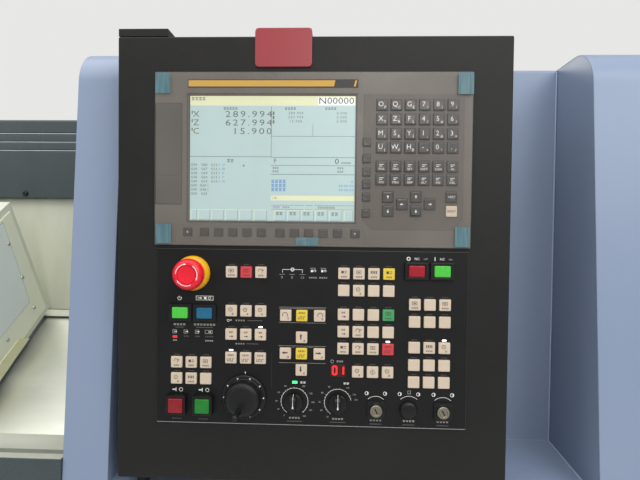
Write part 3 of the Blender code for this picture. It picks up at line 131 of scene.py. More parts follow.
class Finish:
    # one material; its nodes come from add()
    def __init__(self, name, colour=(0.5, 0.5, 0.5), roughness=0.5, metallic=0.0, **fixed):
        self.material = bpy.data.materials.new(name)
        self.material.use_nodes = True
        self.tree = self.material.node_tree
        self.shader = self.tree.nodes["Principled BSDF"]
        self.material.diffuse_color = (*colour, 1)
        self.set(Base_Color=colour, Roughness=roughness, Metallic=metallic, **fixed)
        self.where = self.add("ShaderNodeTexCoord", out="Object")

    def set(self, **sockets):
        for name, value in sockets.items():
            plug(self.shader.inputs[name.replace("_", " ")], value)
        return self

    def add(self, kind, settings=None, sockets=None, out=0):
        node = self.tree.nodes.new(kind)
        for name, value in (settings or {}).items():
            if name == "stops":
                ramp = node.color_ramp
                while len(ramp.elements) < len(value):
                    ramp.elements.new(1)
                for element, (place, colour) in zip(ramp.elements, value):
                    element.position = place
                    element.color = (*colour, 1)
            else:
                setattr(node, name, value)
        for name, value in (sockets or {}).items():
            plug(node.inputs[name], value)
        return Wire(node.outputs[out])

    def noise(self, scale, detail=3.0, stretch=None, where=None):
        where = where or self.where
        if stretch:
            where = self.add("ShaderNodeMapping", sockets={"Vector": where, "Scale": stretch})
        sockets = {"Vector": where, "Scale": scale, "Detail": detail}
        return self.add("ShaderNodeTexNoise", sockets=sockets)

    def mix(self, factor, a, b, way="MIX"):
        settings = {"data_type": "RGBA", "blend_type": way}
        return self.add("ShaderNodeMix", settings, {0: factor, 6: a, 7: b}, 2)

    def axis(self, name):
        return self.add("ShaderNodeSeparateXYZ", sockets={"Vector": self.where}, out=name)

    def edges(self, radius=0.002):
        # about 1 on sharp outer edges, 0 on flat faces
        bevel = self.add("ShaderNodeBevel", {"samples": 4}, {"Radius": radius})
        plain = self.add("ShaderNodeNewGeometry", out="Normal")
        product = {"operation": "DOT_PRODUCT"}
        dot = self.add("ShaderNodeVectorMath", product, {0: bevel, 1: plain}, "Value")
        return (1 - dot) * 3

    def bump(self, height, strength=0.3, distance=0.001):
        sockets = {"Height": height, "Strength": strength, "Distance": distance}
        return self.set(Normal=self.add("ShaderNodeBump", sockets=sockets))


# Finishes

def dim(colour, share):
    return tuple(c * share for c in colour)


paintTone = {
    "casing": srgb(137, 151, 174),
    "casingWorn": srgb(118, 135, 163),
    "panelBlack": srgb(26, 25, 24),
    "panelGrey": srgb(42, 40, 38),
    "railGreen": srgb(66, 77, 78),
    "cream": srgb(212, 214, 196),
    "creamDull": srgb(190, 193, 172),
    "casting": srgb(120, 124, 124),
    "moulded": srgb(31, 30, 30),
}


def enamel(name, colour, second, grain=520.0, roughness=0.42, depth=0.00022):
    # sprayed coat: orange peel, a slow drift of shade and handling marks
    look = Finish(name, colour, roughness, Coat_Weight=0.08, Coat_Roughness=0.3)
    drift = look.noise(2.2, 4).sharpen(0.32, 0.7)
    marks = look.noise(9, 6, (1, 1, 0.35)).sharpen(0.52, 0.72)
    grainy = look.noise(grain, 2)
    look.set(Base_Color=look.mix(drift * 0.45 + marks * 0.16, colour, second))
    look.set(Roughness=roughness + (marks - 0.5) * 0.12 + grainy * 0.06)
    return look.bump(grainy, 0.25, depth)


def texturedCoat(name, colour, second):
    # fine wrinkled powder coat with pale specks on its crests
    look = Finish(name, colour, 0.5, Specular_IOR_Level=0.28)
    wrinkle = look.noise(760, 4)
    slow = look.noise(5, 5).sharpen(0.35, 0.7)
    worn = look.edges(0.003).sharpen(0.08, 0.5)
    crest = wrinkle.sharpen(0.5, 0.8)
    look.set(Base_Color=look.mix(crest * 0.3 + slow * 0.35 + worn * 0.35, colour, second))
    look.set(Roughness=0.46 + slow * 0.14 - crest * 0.08)
    return look.bump(wrinkle, 0.5, 0.0004)


def brushed(name, colour, stretch, roughness=0.3, dull=0.12):
    # ground or rolled metal with fine lines and faint stains
    look = Finish(name, colour, roughness, 1.0)
    lines = look.noise(220, 5, stretch)
    stain = look.noise(6, 6).sharpen(0.42, 0.75)
    look.set(Base_Color=look.mix(lines * 0.35 + stain * 0.4, colour, dim(colour, 0.62)))
    look.set(Roughness=roughness + lines * 0.16 + stain * dull)
    return look.bump(lines, 0.18, 0.0002)


def moulding(name, colour, roughness=0.4, grain=900.0, shift=0.8):
    # moulded plastic with a fine spark-eroded grain and finger polish
    look = Finish(name, colour, roughness)
    fine = look.noise(grain, 2)
    touched = look.noise(30, 4).sharpen(0.4, 0.7)
    look.set(Base_Color=look.mix(touched * 0.35 + fine * 0.15, colour, dim(colour, shift)))
    look.set(Roughness=roughness + fine * 0.1 - touched * 0.1)
    return look.bump(fine, 0.25, 0.0002)


def lens(name, colour, glow, roughness=0.22):
    # translucent cap with a lamp behind it, brighter at the middle of its ribs
    look = Finish(name, colour, roughness, Coat_Weight=0.12, Specular_IOR_Level=0.3)
    ribs = look.noise(420, 1, (1, 1, 0.2))
    shade = look.noise(60, 3)
    bright = tuple(min(1, c * 1.25 + 0.02) for c in colour)
    look.set(Base_Color=look.mix(shade, colour, bright), Emission_Strength=glow)
    look.set(Emission_Color=look.mix(ribs, colour, bright), Roughness=roughness + ribs * 0.1)
    return look.bump(ribs, 0.3, 0.0003)


def printed(name, colour, roughness=0.5):
    # screen-printed ink, a little uneven
    look = Finish(name, colour, roughness)
    uneven = look.noise(700, 3).sharpen(0.3, 0.75)
    look.set(Base_Color=look.mix(uneven * 0.3, colour, dim(colour, 0.72)))
    return look.set(Roughness=roughness + uneven * 0.1)


def glowing(name, colour, strength):
    look = Finish(name, dim(colour, 0.4), 0.35, Emission_Strength=strength)
    cells = look.noise(900, 1)
    return look.set(Emission_Color=look.mix(cells * 0.25, colour, dim(colour, 0.8)))


def castMetal(name, colour):
    look = Finish(name, colour, 0.6)
    pits = look.noise(140, 6)
    grime = look.noise(7, 6).sharpen(0.4, 0.75)
    look.set(Base_Color=look.mix(grime * 0.5 + pits * 0.15, colour, dim(colour, 0.55)))
    look.set(Roughness=0.52 + grime * 0.2)
    return look.bump(pits, 0.5, 0.0012)


def wetSheet(name):
    # galvanised cover sheets: rolled lines along x, coolant film and fine glitter
    look = Finish(name, srgb(212, 210, 186), 0.36, 0.75)
    rolled = look.noise(95, 5, (0.04, 1, 1))
    streak = look.noise(11, 6, (0.5, 1, 1)).sharpen(0.4, 0.72)
    chips = look.add("ShaderNodeTexVoronoi", {"feature": "F1"}, {"Vector": look.where, "Scale": 260})
    speck = 1 - chips.sharpen(0.08, 0.2)
    look.set(Base_Color=look.mix(streak * 0.4 + rolled * 0.2, srgb(234, 235, 224), srgb(200, 201, 186)))
    look.set(Roughness=0.28 + streak * 0.2 + rolled * 0.08, Metallic=0.85 - streak * 0.3)
    return look.bump(rolled + speck * 0.4, 0.25, 0.0005)


def creamSheet(name, low, high):
    # enamel inside the working space, with splash stains, darker and duller towards the bottom
    look = Finish(name, paintTone["cream"], 0.42, Coat_Weight=0.15)
    slow = look.noise(3.2, 5).sharpen(0.3, 0.7)
    splash = look.noise(24, 6, (1, 1, 0.3)).sharpen(0.5, 0.68)
    height = look.axis("Z").sharpen(high, low)
    grainy = look.noise(420, 2)
    dull = slow * 0.35 + height * 0.35 + splash * 0.25
    look.set(Base_Color=look.mix(dull, paintTone["cream"], paintTone["creamDull"]))
    look.set(Roughness=0.36 + splash * 0.2 + slow * 0.1)
    return look.bump(grainy + splash * 0.5, 0.2, 0.0003)


def clearGlass(name):
    look = Finish(name, srgb(196, 210, 208), 0.05, Transmission_Weight=0.9, IOR=1.45)
    smear = look.noise(14, 5).sharpen(0.45, 0.75)
    return look.set(Roughness=0.04 + smear * 0.16)


def clearFilm(name):
    # protective film: mostly see-through, with long soft creases; its patchy grey haze is partly the
    # film's own cloudiness and partly painted reflection, and its paler crease lines are painted
    # highlights
    look = Finish(name, srgb(176, 168, 160), 0.16, Coat_Weight=0.3, Coat_Roughness=0.2)
    crease = look.noise(13, 4, (1, 1, 0.35))
    hazeAndGlare = look.noise(6, 4).sharpen(0.3, 0.75)
    # alpha raised in patches and along the crease crests: painted reflection and painted crease
    # highlights on the film
    look.set(Alpha=0.07 + hazeAndGlare * 0.12 + crease.sharpen(0.55, 0.75) * 0.05)
    look.set(Roughness=0.26 + hazeAndGlare * 0.14)
    return look.bump(crease, 0.3, 0.0014)


def tapeFinish(name):
    look = Finish(name, srgb(92, 152, 168), 0.45)
    weave = look.noise(420, 3, (1, 1, 0.06)).sharpen(0.35, 0.65)
    patch = look.noise(40, 3)
    look.set(Base_Color=look.mix(patch * 0.35 + weave * 0.5, srgb(56, 94, 106), srgb(102, 134, 138)))
    return look.bump(weave, 0.4, 0.0003)


casing = enamel("lilacEnamel", paintTone["casing"], paintTone["casingWorn"])
blackCoat = texturedCoat("blackTexturedCoat", paintTone["panelBlack"], paintTone["panelGrey"])
railEnamel = enamel("railEnamel", paintTone["railGreen"], srgb(44, 53, 54), 600, 0.3)
cream = creamSheet("creamEnamel", 0.95, 1.45)
casting = castMetal("paintedCasting", paintTone["casting"])
groundSteel = brushed("groundSteel", srgb(196, 196, 194), (1, 1, 0.06))
turnedSteel = brushed("turnedSteel", srgb(188, 188, 186), (0.05, 1, 1), 0.26)
lockNickel = brushed("lockNickel", srgb(160, 153, 134), (0.05, 1, 1), 0.3)
coverSheet = wetSheet("galvanisedSheet")
windowGlass = clearGlass("laminatedGlass")
blackPlastic = moulding("blackMoulding", paintTone["moulded"], 0.42).set(Specular_IOR_Level=0.32)
bezelGrey = moulding("bezelMoulding", srgb(94, 88, 81), 0.36)
slotDoor = moulding("cardDoorMoulding", srgb(66, 62, 58), 0.42)
keyPlateSkin = moulding("keyPlateSkin", srgb(18, 18, 18), 0.45, 700).set(Specular_IOR_Level=0.28)
grip = moulding("blackGripPlastic", srgb(24, 24, 24), 0.32, 1200).set(Specular_IOR_Level=0.32)
redCoat = enamel("redClipEnamel", srgb(156, 58, 64), srgb(130, 42, 50), 520, 0.35)
redPlastic = moulding("redMoulding", srgb(232, 22, 46), 0.28, 900, 0.86)
yellowPlastic = moulding("yellowMoulding", srgb(232, 172, 10), 0.35)
keyWhite = moulding("whiteKeycap", srgb(208, 190, 168), 0.45, 1100, 0.9)
keyYellow = moulding("yellowKeycap", srgb(224, 194, 62), 0.42, 1100, 0.9)
keyGreen = moulding("greenKeycap", srgb(64, 152, 92), 0.42, 1100, 0.9)
keyRed = moulding("redKeycap", srgb(206, 58, 66), 0.42, 1100, 0.9)
keyDark = moulding("darkKeycap", srgb(46, 45, 44), 0.28, 1100, 1.3)
tealTape = tapeFinish("tealTape")
film = clearFilm("protectiveFilm")
lampCover = glowing("lampDiffuser", srgb(236, 240, 232), 0.7)
whiteInk = printed("whiteInk", srgb(234, 231, 224))
greyInk = printed("greyInk", srgb(166, 163, 157))
darkInk = printed("darkInk", srgb(58, 56, 54))
yellowInk = printed("yellowStripInk", srgb(212, 162, 36))
# slotDark: near-black for seams and black parts, and painted shade in vent slots, keyholes, keyways and
# the gaps round keys
slotDark = printed("slotDark", srgb(20, 20, 20), 0.7)
print("finishes made")
# Shape making

def mm(*points):
    # points in millimetres, as metres
    return [tuple(value / 1000 for value in point) for point in points]


def shift(x=0.0, y=0.0, z=0.0):
    return Matrix.Translation((x, y, z))


def spin(degrees, axis="Z"):
    return Matrix.Rotation(math.radians(degrees), 4, axis)


def onCircle(radius, degrees, x=0.0, y=0.0):
    a = math.radians(degrees)
    return x + radius * math.cos(a), y + radius * math.sin(a)


# local x, y and z of a piece that faces the operator, the rear, the right and the left
toFront = Matrix(((1, 0, 0), (0, 0, -1), (0, 1, 0))).to_4x4()
toRear = Matrix(((-1, 0, 0), (0, 0, 1), (0, 1, 0))).to_4x4()
toRight = Matrix(((0, 0, 1), (1, 0, 0), (0, 1, 0))).to_4x4()
toLeft = Matrix(((0, 0, -1), (1, 0, 0), (0, -1, 0))).to_4x4()


def soften(part, edges, offset, steps):
    bmesh.ops.bevel(part, geom=edges, offset=offset, segments=steps, profile=0.5, affect="EDGES")


class Shape:
    # gathers the solids of one piece, each with its own finish
    def __init__(self, name):
        self.name = name
        self.mesh = bmesh.new()
        self.finishes = []

    def take(self, part, finish, place=None):
        if finish not in self.finishes:
            self.finishes.append(finish)
        for face in part.faces:
            face.material_index = self.finishes.index(finish)
            face.smooth = True
        if place:
            part.transform(place)
        temporary = bpy.data.meshes.new("part")
        part.to_mesh(temporary)
        part.free()
        self.mesh.from_mesh(temporary)
        bpy.data.meshes.remove(temporary)
        return self

    def block(self, low, high, finish, soft=0.0006, steps=2, place=None):
        part = bmesh.new()
        size = [abs(b - a) for a, b in zip(low, high)]
        middle = [(a + b) / 2 for a, b in zip(low, high)]
        bmesh.ops.create_cube(part, size=1, matrix=shift(*middle) @ Matrix.Diagonal((*size, 1)))
        soft = min(soft, 0.45 * min(size))
        if soft:
            soften(part, part.edges[:] + part.verts[:], soft, steps)
        return self.take(part, finish, place)

    def prism(self, points, depth, finish, place, soft=0.0, steps=1):
        # an outline in the local x and y, raised to depth along local z
        part = bmesh.new()
        low, high = ([part.verts.new((x, y, z)) for x, y in points] for z in (0, depth))
        part.faces.new(low[::-1])
        part.faces.new(high)
        joinRings(part, low, high)
        bmesh.ops.recalc_face_normals(part, faces=part.faces)
        if soft:
            rim = [e for e in part.edges if all(abs(v.co.z - depth) < 1e-7 for v in e.verts)]
            soften(part, rim, soft, steps)
        return self.take(part, finish, place)

    def turn(self, profile, finish, place, steps=40):
        # (radius, height) points, turned about the local z
        part = bmesh.new()
        rings = []
        for radius, height in profile:
            around = range(steps if radius > 1e-6 else 1)
            rings.append([part.verts.new((*onCircle(radius, 360 * s / steps), height)) for s in around])
        for a, b in zip(rings, rings[1:]):
            for s in range(steps):
                t = (s + 1) % steps
                corners = [a[s % len(a)], a[t % len(a)], b[t % len(b)], b[s % len(b)]]
                corners = list(dict.fromkeys(corners))
                if len(corners) > 2:
                    part.faces.new(corners)
        bmesh.ops.recalc_face_normals(part, faces=part.faces)
        return self.take(part, finish, place)

    def tube(self, points, radius, finish, sides=12):
        # a bar along a line of points, closed at both ends
        part = bmesh.new()
        rings = []
        for i, point in enumerate(points):
            ahead = points[min(i + 1, len(points) - 1)] - points[max(i - 1, 0)]
            turn = ahead.to_track_quat("Z", "Y").to_matrix()
            rim = [onCircle(radius, 360 * s / sides) for s in range(sides)]
            rings.append([part.verts.new(point + turn @ Vector((x, y, 0))) for x, y in rim])
        for a, b in zip(rings, rings[1:]):
            joinRings(part, a, b)
        part.faces.new(rings[0][::-1])
        part.faces.new(rings[-1])
        bmesh.ops.recalc_face_normals(part, faces=part.faces)
        return self.take(part, finish)

    def words(self, text, size, finish, place, spread=1.0, wide=1.0):
        # flat letters, centred on the place, drawn out sideways by wide
        curve = bpy.data.curves.new("letters", "FONT")
        curve.body, curve.size, curve.space_character = text, size, spread
        curve.align_x = curve.align_y = "CENTER"
        curve.resolution_u = 2
        letters = bpy.data.objects.new("letters", curve)
        flat = bpy.data.meshes.new_from_object(letters)
        part = bmesh.new()
        part.from_mesh(flat)
        bmesh.ops.scale(part, vec=(wide, 1, 1), verts=part.verts)
        bpy.data.objects.remove(letters)
        bpy.data.curves.remove(curve)
        bpy.data.meshes.remove(flat)
        return self.take(part, finish, place)

    def done(self, body, slot=None, replaces=(), angle=40, weigh=True):
        mesh = bpy.data.meshes.new(self.name)
        self.mesh.to_mesh(mesh)
        self.mesh.free()
        mesh.set_sharp_from_angle(angle=math.radians(angle))
        for finish in self.finishes:
            mesh.materials.append(finish.material)
        piece = bpy.data.objects.new(self.name, mesh)
        bpy.context.scene.collection.objects.link(piece)
        if weigh:
            piece.modifiers.new("faceWeighted", "WEIGHTED_NORMAL").keep_sharp = True
        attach(piece, body)
        if replaces:
            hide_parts(*replaces)
        return piece


def joinRings(part, a, b):
    for i in range(len(a)):
        j = (i + 1) % len(a)
        part.faces.new((a[i], a[j], b[j], b[i]))


panelCorner = Vector((0.930, -0.755, 1.640))  # middle of the panel's top edge, on its face


def spot(x, down, out=0.0):
    # a place on the panel in millimetres: from its centre line, its top edge and its face
    return panelCorner + Vector((x, -out, -down)) / 1000


def facing(x, down, out=0.0, turn=0.0):
    # local x to the right, y up and z towards the operator
    return Matrix.Translation(spot(x, down, out)) @ toFront @ spin(turn)


def onPanel(shape, x, down, width, height, low, high, finish, soft=0.5, steps=2):
    # a block on the panel in millimetres, between two heights over its face
    a = spot(x - width / 2, down + height / 2, low)
    b = spot(x + width / 2, down - height / 2, high)
    return shape.block(a, b, finish, soft / 1000, steps)


def mark(shape, x, down, width, height, out, finish):
    return onPanel(shape, x, down, width, height, out - 0.05, out + 0.05, finish, 0)


def roundedOutline(width, height, radius, steps=4):
    points = []
    for cx, cy, start in ((1, 1, 0), (-1, 1, 90), (-1, -1, 180), (1, -1, 270)):
        x, y = cx * (width / 2 - radius), cy * (height / 2 - radius)
        points += [onCircle(radius, start + 90 * s / steps, x, y) for s in range(steps + 1)]
    return points


def keycap(shape, x, down, size, base, rise, finish):
    # tapered cap with soft corners and a dished top: height and share of the size
    levels = ((0, 1.0), (rise * 0.75, 0.99), (rise * 0.96, 0.965), (rise, 0.93), (rise - 0.2, 0.6))
    part = bmesh.new()
    rings = []
    for height, share in levels:
        outline = mm(*roundedOutline(size * share, size * share, size * 0.07 * share, 2))
        rings.append([part.verts.new((px, py, height / 1000)) for px, py in outline])
    for a, b in zip(rings, rings[1:]):
        joinRings(part, a, b)
    part.faces.new(rings[-1])
    part.faces.new(rings[0][::-1])
    return shape.take(part, finish, facing(x, down, base))
# Operator panel: box and clip

panelBox = {  # millimetres, as everything on the panel
    "width": 500, "height": 570, "depth": 110, "soft": 2.2, "seam": 11, "seamWidth": 1.2,
    "screwX": (-220, 0, 220), "screwDown": (26, 285, 544), "vents": 7, "ventPitch": 12,
}


def makePanelBox(p):
    shape = Shape("panelBoxShell")
    width, height, seam, back = p["width"], p["height"], p["seam"], -p["depth"]
    onPanel(shape, 0, height / 2, width, height, back, 0, blackCoat, p["soft"], 3)
    # rear cover with a shadow seam, screws and air slots
    line = (back - 0.06, back + 0.3, slotDark, 0)
    for side in (-1, 1):
        x, down = side * (width / 2 - seam), height / 2 + side * (height / 2 - seam)
        onPanel(shape, x, height / 2, p["seamWidth"], height - 2 * seam, *line)
        onPanel(shape, 0, down, width - 2 * seam, p["seamWidth"], *line)
    shape.done("panel", "panel_black", ["panel_box"])
    screws = Shape("panelBackScrews")
    for x in p["screwX"]:
        for down in p["screwDown"]:
            place = facing(x, down, back) @ Matrix.Rotation(math.pi, 4, "Y")
            screws.turn(mm((0, 2), (2.2, 1.8), (3.2, 0.8), (3.2, -1)), groundSteel, place, 16)
    # air slots as dark bars: painted shade in the slots
    for row in range(p["vents"]):
        onPanel(screws, 120, 330 + row * p["ventPitch"], 110, 3.4, back - 0.08, back + 0.3, slotDark, 0)
    screws.done("panel", "panel_black")


redClip = {
    "left": -73.4, "width": 72.1, "top": 9.5, "drop": 39.4, "sheet": 2.5, "corner": 5.0, "depth": 30,
}


def makeRedClip(p):
    shape = Shape("redTopClip")
    x, width, top, back = p["left"] + p["width"] / 2, p["width"] - 1.4, p["top"], -p["depth"]
    height = top + p["drop"]
    outline = [(a, min(b, height / 2)) for a, b in roundedOutline(p["width"], height, p["corner"], 5)]
    place = facing(x, (p["drop"] - top) / 2, 0.3)
    shape.prism(mm(*outline), p["sheet"] / 1000, redCoat, place, 0.0009, 3)
    onPanel(shape, x, 1.25 - top, width, p["sheet"], back, 1.2, redCoat, 1.0, 3)
    onPanel(shape, x, -top / 2, width, top - 0.6, back, back + 2.5, redCoat, 0.6)
    shape.done("panel", "red_plastic", ["red_top_clip"])


makePanelBox(panelBox)
makeRedClip(redClip)

# Display and keyboard unit

unit = {
    "left": -201.0, "right": 200.0, "top": 45.5, "bottom": 265.6, "rise": 3.0,
    "screen": (-157.0, 74.8, 211.2, 158.8), "keyRise": 2.4, "key": 13.6,
    "letterX": [87.3 + 17.6 * n for n in range(6)], "letterDown": (87.2, 105.1, 123.1, 140.2),
    "functionDown": (163.7, 180.3),
    "sideX": 68.6, "sideDown": (133.8, 154.4, 171.1, 186.3, 202.4, 222.9),
    "softX": [-157.7] + [left + 18.2 * n for left in (-136.1, -39.5) for n in range(5)] + [55.4],
    "softDown": 248.5, "help": (174.8, 201.4), "reset": (175.0, 219.2, 13.8),
    "cardDoor": (  # x, down, width, height, rise, finish and softness of its sheets
        (-182.8, 149.3, 34.6, 129.0, 0.25, slotDark, 0.3),
        (-182.6, 149.3, 32.8, 127.4, 0.5, slotDoor, 0.4),
        (-184.0, 131.8, 29.6, 90.4, 0.9, slotDoor, 0.5),
        (-184.0, 195.4, 29.6, 33.6, 0.9, slotDoor, 0.5)),
    "softBorder": ((-174.2, 238.6), (-174.2, 260.6), (68.6, 260.6), (68.6, 250.0), (63.0, 238.6)),
    "field": (
        (-62.5, 84.65), (62.5, 84.65), (62.5, -72.6), (50.5, -84.65), (-50.5, -84.65), (-62.5, -72.6)),
    "arrows": (
        (95.8, 202.2, 90), (96.0, 219.5, -90), (113.4, 210.9, 180),
        (130.6, 201.8, 90), (130.8, 219.2, -90), (147.9, 210.6, 0)),
}
letterRows = ("OQG789", "XZF456", "MSY123", "UWH-0.")
secondRows = ("PCE///", "YRL/#/", "IKJ,#=", "JVB+*/")
functionRows = (("POS", "PRG", "SET", "SHFT", "CAN", "IN"), ("SYS", "MSG", "GRP", "ALT", "INS", "DEL"))


def makeUnit(p):
    shape = Shape("displayUnit")
    left, right, top, bottom, rise = (p[name] for name in ("left", "right", "top", "bottom", "rise"))
    sx, sd, sw, sh = p["screen"]
    midX, midDown = sx + sw / 2, sd + sh / 2

    def strip(x0, x1, down0, down1, low, high, finish, soft):
        size = (x1 - x0, down1 - down0)
        onPanel(shape, (x0 + x1) / 2, (down0 + down1) / 2, *size, low, high, finish, soft)

    # bezel in four strips round the display, so that the display sits in its pocket
    for low, high in ((top, sd), (sd + sh, bottom)):
        strip(left, right, low, high, -0.2, rise, bezelGrey, 1.0)
    for low, high in ((left, sx), (sx + sw, right)):
        strip(low, high, sd - 1, sd + sh + 1, -0.2, rise, bezelGrey, 0.5)
    # raised lip round the display
    for side in (-1, 1):
        edge = (rise - 0.1, rise + 0.5, keyDark, 0.3)
        onPanel(shape, midX, midDown + side * (sh / 2 + 1.6), sw + 6, 1.4, *edge)
        onPanel(shape, midX + side * (sw / 2 + 1.6), midDown, 1.4, sh + 4, *edge)
    # card door with its split and frame, at the left
    for x, down, w, h, up, finish, soft in p["cardDoor"]:
        onPanel(shape, x, down, w, h, rise - 0.4, rise + up, finish, soft)
    # raised border of the row of soft keys, its right end cut
    border = p["softBorder"]
    for a, b in zip(border, border[1:] + border[:1]):
        shape.tube([spot(*a, rise), spot(*b, rise)], 0.0004, bezelGrey, 6)
    # keyboard field with cut lower corners
    shape.prism(mm(*p["field"]), 0.0005, keyBoardSkin, facing(126.9, 158.35, rise - 0.1), 0.0003)
    shape.done("panel", "moulded_black", ["cnc_unit"])
    # header strip: yellow with a slanted end, on a black plate with a yellow tip
    header = Shape("headerStrip")
    onPanel(header, -50.6, 60.5, 215.6, 10.6, rise - 0.1, rise + 0.4, slotDark, 0.2)
    for low, high, slope in ((-157.4, 28.4, 0), (52.4, 55.6, 1.2)):
        slant = [(low + slope, 56.5), (low - slope, 64.2), (high - 1.6, 64.2), (high, 56.5)]
        outline = mm(*[(x + 50.6, 60.4 - down) for x, down in slant])
        header.prism(outline, 0.0003, yellowInk, facing(-50.6, 60.4, rise + 0.25))
    header.done("panel")


keyBoardSkin = moulding("keyboardSkin", srgb(84, 76, 70), 0.4, 500)


def makeUnitKeys(p):
    caps, inks = Shape("unitKeys"), Shape("unitKeyLegends")
    base, top = p["rise"], p["rise"] + p["keyRise"]

    def key(x, down, size=p["key"], finish=keyDark):
        # dark well round each key: painted shade in the gap
        onPanel(caps, x, down, size + 1.5, size + 1.5, base - 0.2, base + 0.42, slotDark, 0.2, 1)
        keycap(caps, x, down, size, base, p["keyRise"], finish)

    def legend(text, x, down, size=4.0, finish=whiteInk):
        inks.words(text, size / 1000, finish, facing(x, down, top - 0.1))

    def smallKey(x, down, size, well, lift, up):
        # dark well round each small key: painted shade in the gap
        onPanel(caps, x, down, *well, base - 0.2, base + up, slotDark, 0.2, 1)
        keycap(caps, x, down, size, base + lift, p["keyRise"] - 0.4, keyDark)

    for down, letters, seconds in zip(p["letterDown"], letterRows, secondRows):
        for x, letter, second in zip(p["letterX"], letters, seconds):
            key(x, down)
            legend(letter, x - 1.6, down - 0.6, 8.6)
            legend(second, x + 3.6, down + 3.2, 5.0)
    for down, names in zip(p["functionDown"], functionRows):
        for x, name in zip(p["letterX"], names):
            key(x, down)
            legend(name, x, down + 3.4)
            mark(inks, x, down - 2.2, 5.6, 0.8, top - 0.05, whiteInk)
            mark(inks, x - 1.0, down - 0.2, 3.4, 0.8, top - 0.05, whiteInk)
    arrow = mm((-1.6, -0.5), (0.4, -0.5), (0.4, -1.6), (2.6, 0), (0.4, 1.6), (0.4, 0.5), (-1.6, 0.5))
    for x, down, turn in p["arrows"]:
        key(x, down)
        inks.prism(arrow, 0.0001, whiteInk, facing(x, down, top - 0.12, turn))
    key(*p["help"])
    legend("HELP", *p["help"])
    key(*p["reset"], keyWhite)
    legend("RESET", *p["reset"][:2], 4.0, darkInk)
    for x in p["softX"]:
        smallKey(x, p["softDown"], 9.8, (11.6, 10.6), 0, 0.4)
    pointer = mm((-1.2, -1.8), (1.8, 0), (-1.2, 1.8))
    for x, turn in ((p["softX"][0], 180), (p["softX"][-1], 0)):
        inks.prism(pointer, 0.0001, greyInk, facing(x, p["softDown"], top - 0.5, turn))
    for down in p["sideDown"]:
        smallKey(p["sideX"], down, 9.4, (10.4, 11.2), 0.4, 0.7)
    caps.done("panel", "moulded_black", weigh=False)
    inks.done("panel", weigh=False)


makeUnit(unit)
makeUnitKeys(unit)
print("display unit made")

# Picture on the display, in millimetres from its upper left corner

screen = {
    "left": -156.0, "top": 75.4, "width": 210.2, "height": 158.0, "out": 1.0,
    "axisRow": 10.75, "smallRow": 5.1, "timeRow": 5.2, "codeRow": 5.25,
    "positions": (("X", "289.994", 75.2), ("Z", "627.994", 75.2), ("C", "15.900", 79.6)),
    "codes": ("G80", "G67", "G54", "G64", "G18", "G69.1", "G40.1", "G25"),
    "counts": ("17", "18", "0", "7", "10"),
    "dividers": (
        (103.7, 13.6, 0.6, 63), (0, 76.5, 103.9, 0.6), (103.7, 50.5, 106.5, 0.5),
        (103.7, 77, 106.5, 0.6), (103.7, 87.2, 106.5, 0.5), (103.7, 98.5, 106.5, 0.6),
        (156.5, 34, 0.4, 16.5)),
    "softBoxes": (
        (1.4, 9.3), (10.4, 26.3), (27.9, 44.0), (46.0, 61.8), (64.0, 80.2), (82.5, 99.2),
        (108.3, 123.7), (125.5, 141.8), (143.0, 158.8), (161.0, 176.4), (178.6, 194.8), (197.5, 208.8)),
}
lit = {
    "ground": glowing("litPaleBlue", srgb(182, 208, 207), 0.70),
    "header": glowing("litPaleYellow", srgb(224, 226, 186), 0.76),
    "white": glowing("litWhite", srgb(234, 238, 232), 0.9),
    "grey": glowing("litGreyText", srgb(96, 108, 112), 0.55),
    "dark": glowing("litDarkText", srgb(58, 66, 72), 0.4),
    "blue": glowing("litBlueText", srgb(58, 124, 206), 0.65),
    "violet": glowing("litVioletText", srgb(150, 116, 196), 0.6),
    "olive": glowing("litOliveText", srgb(104, 124, 50), 0.5),
}


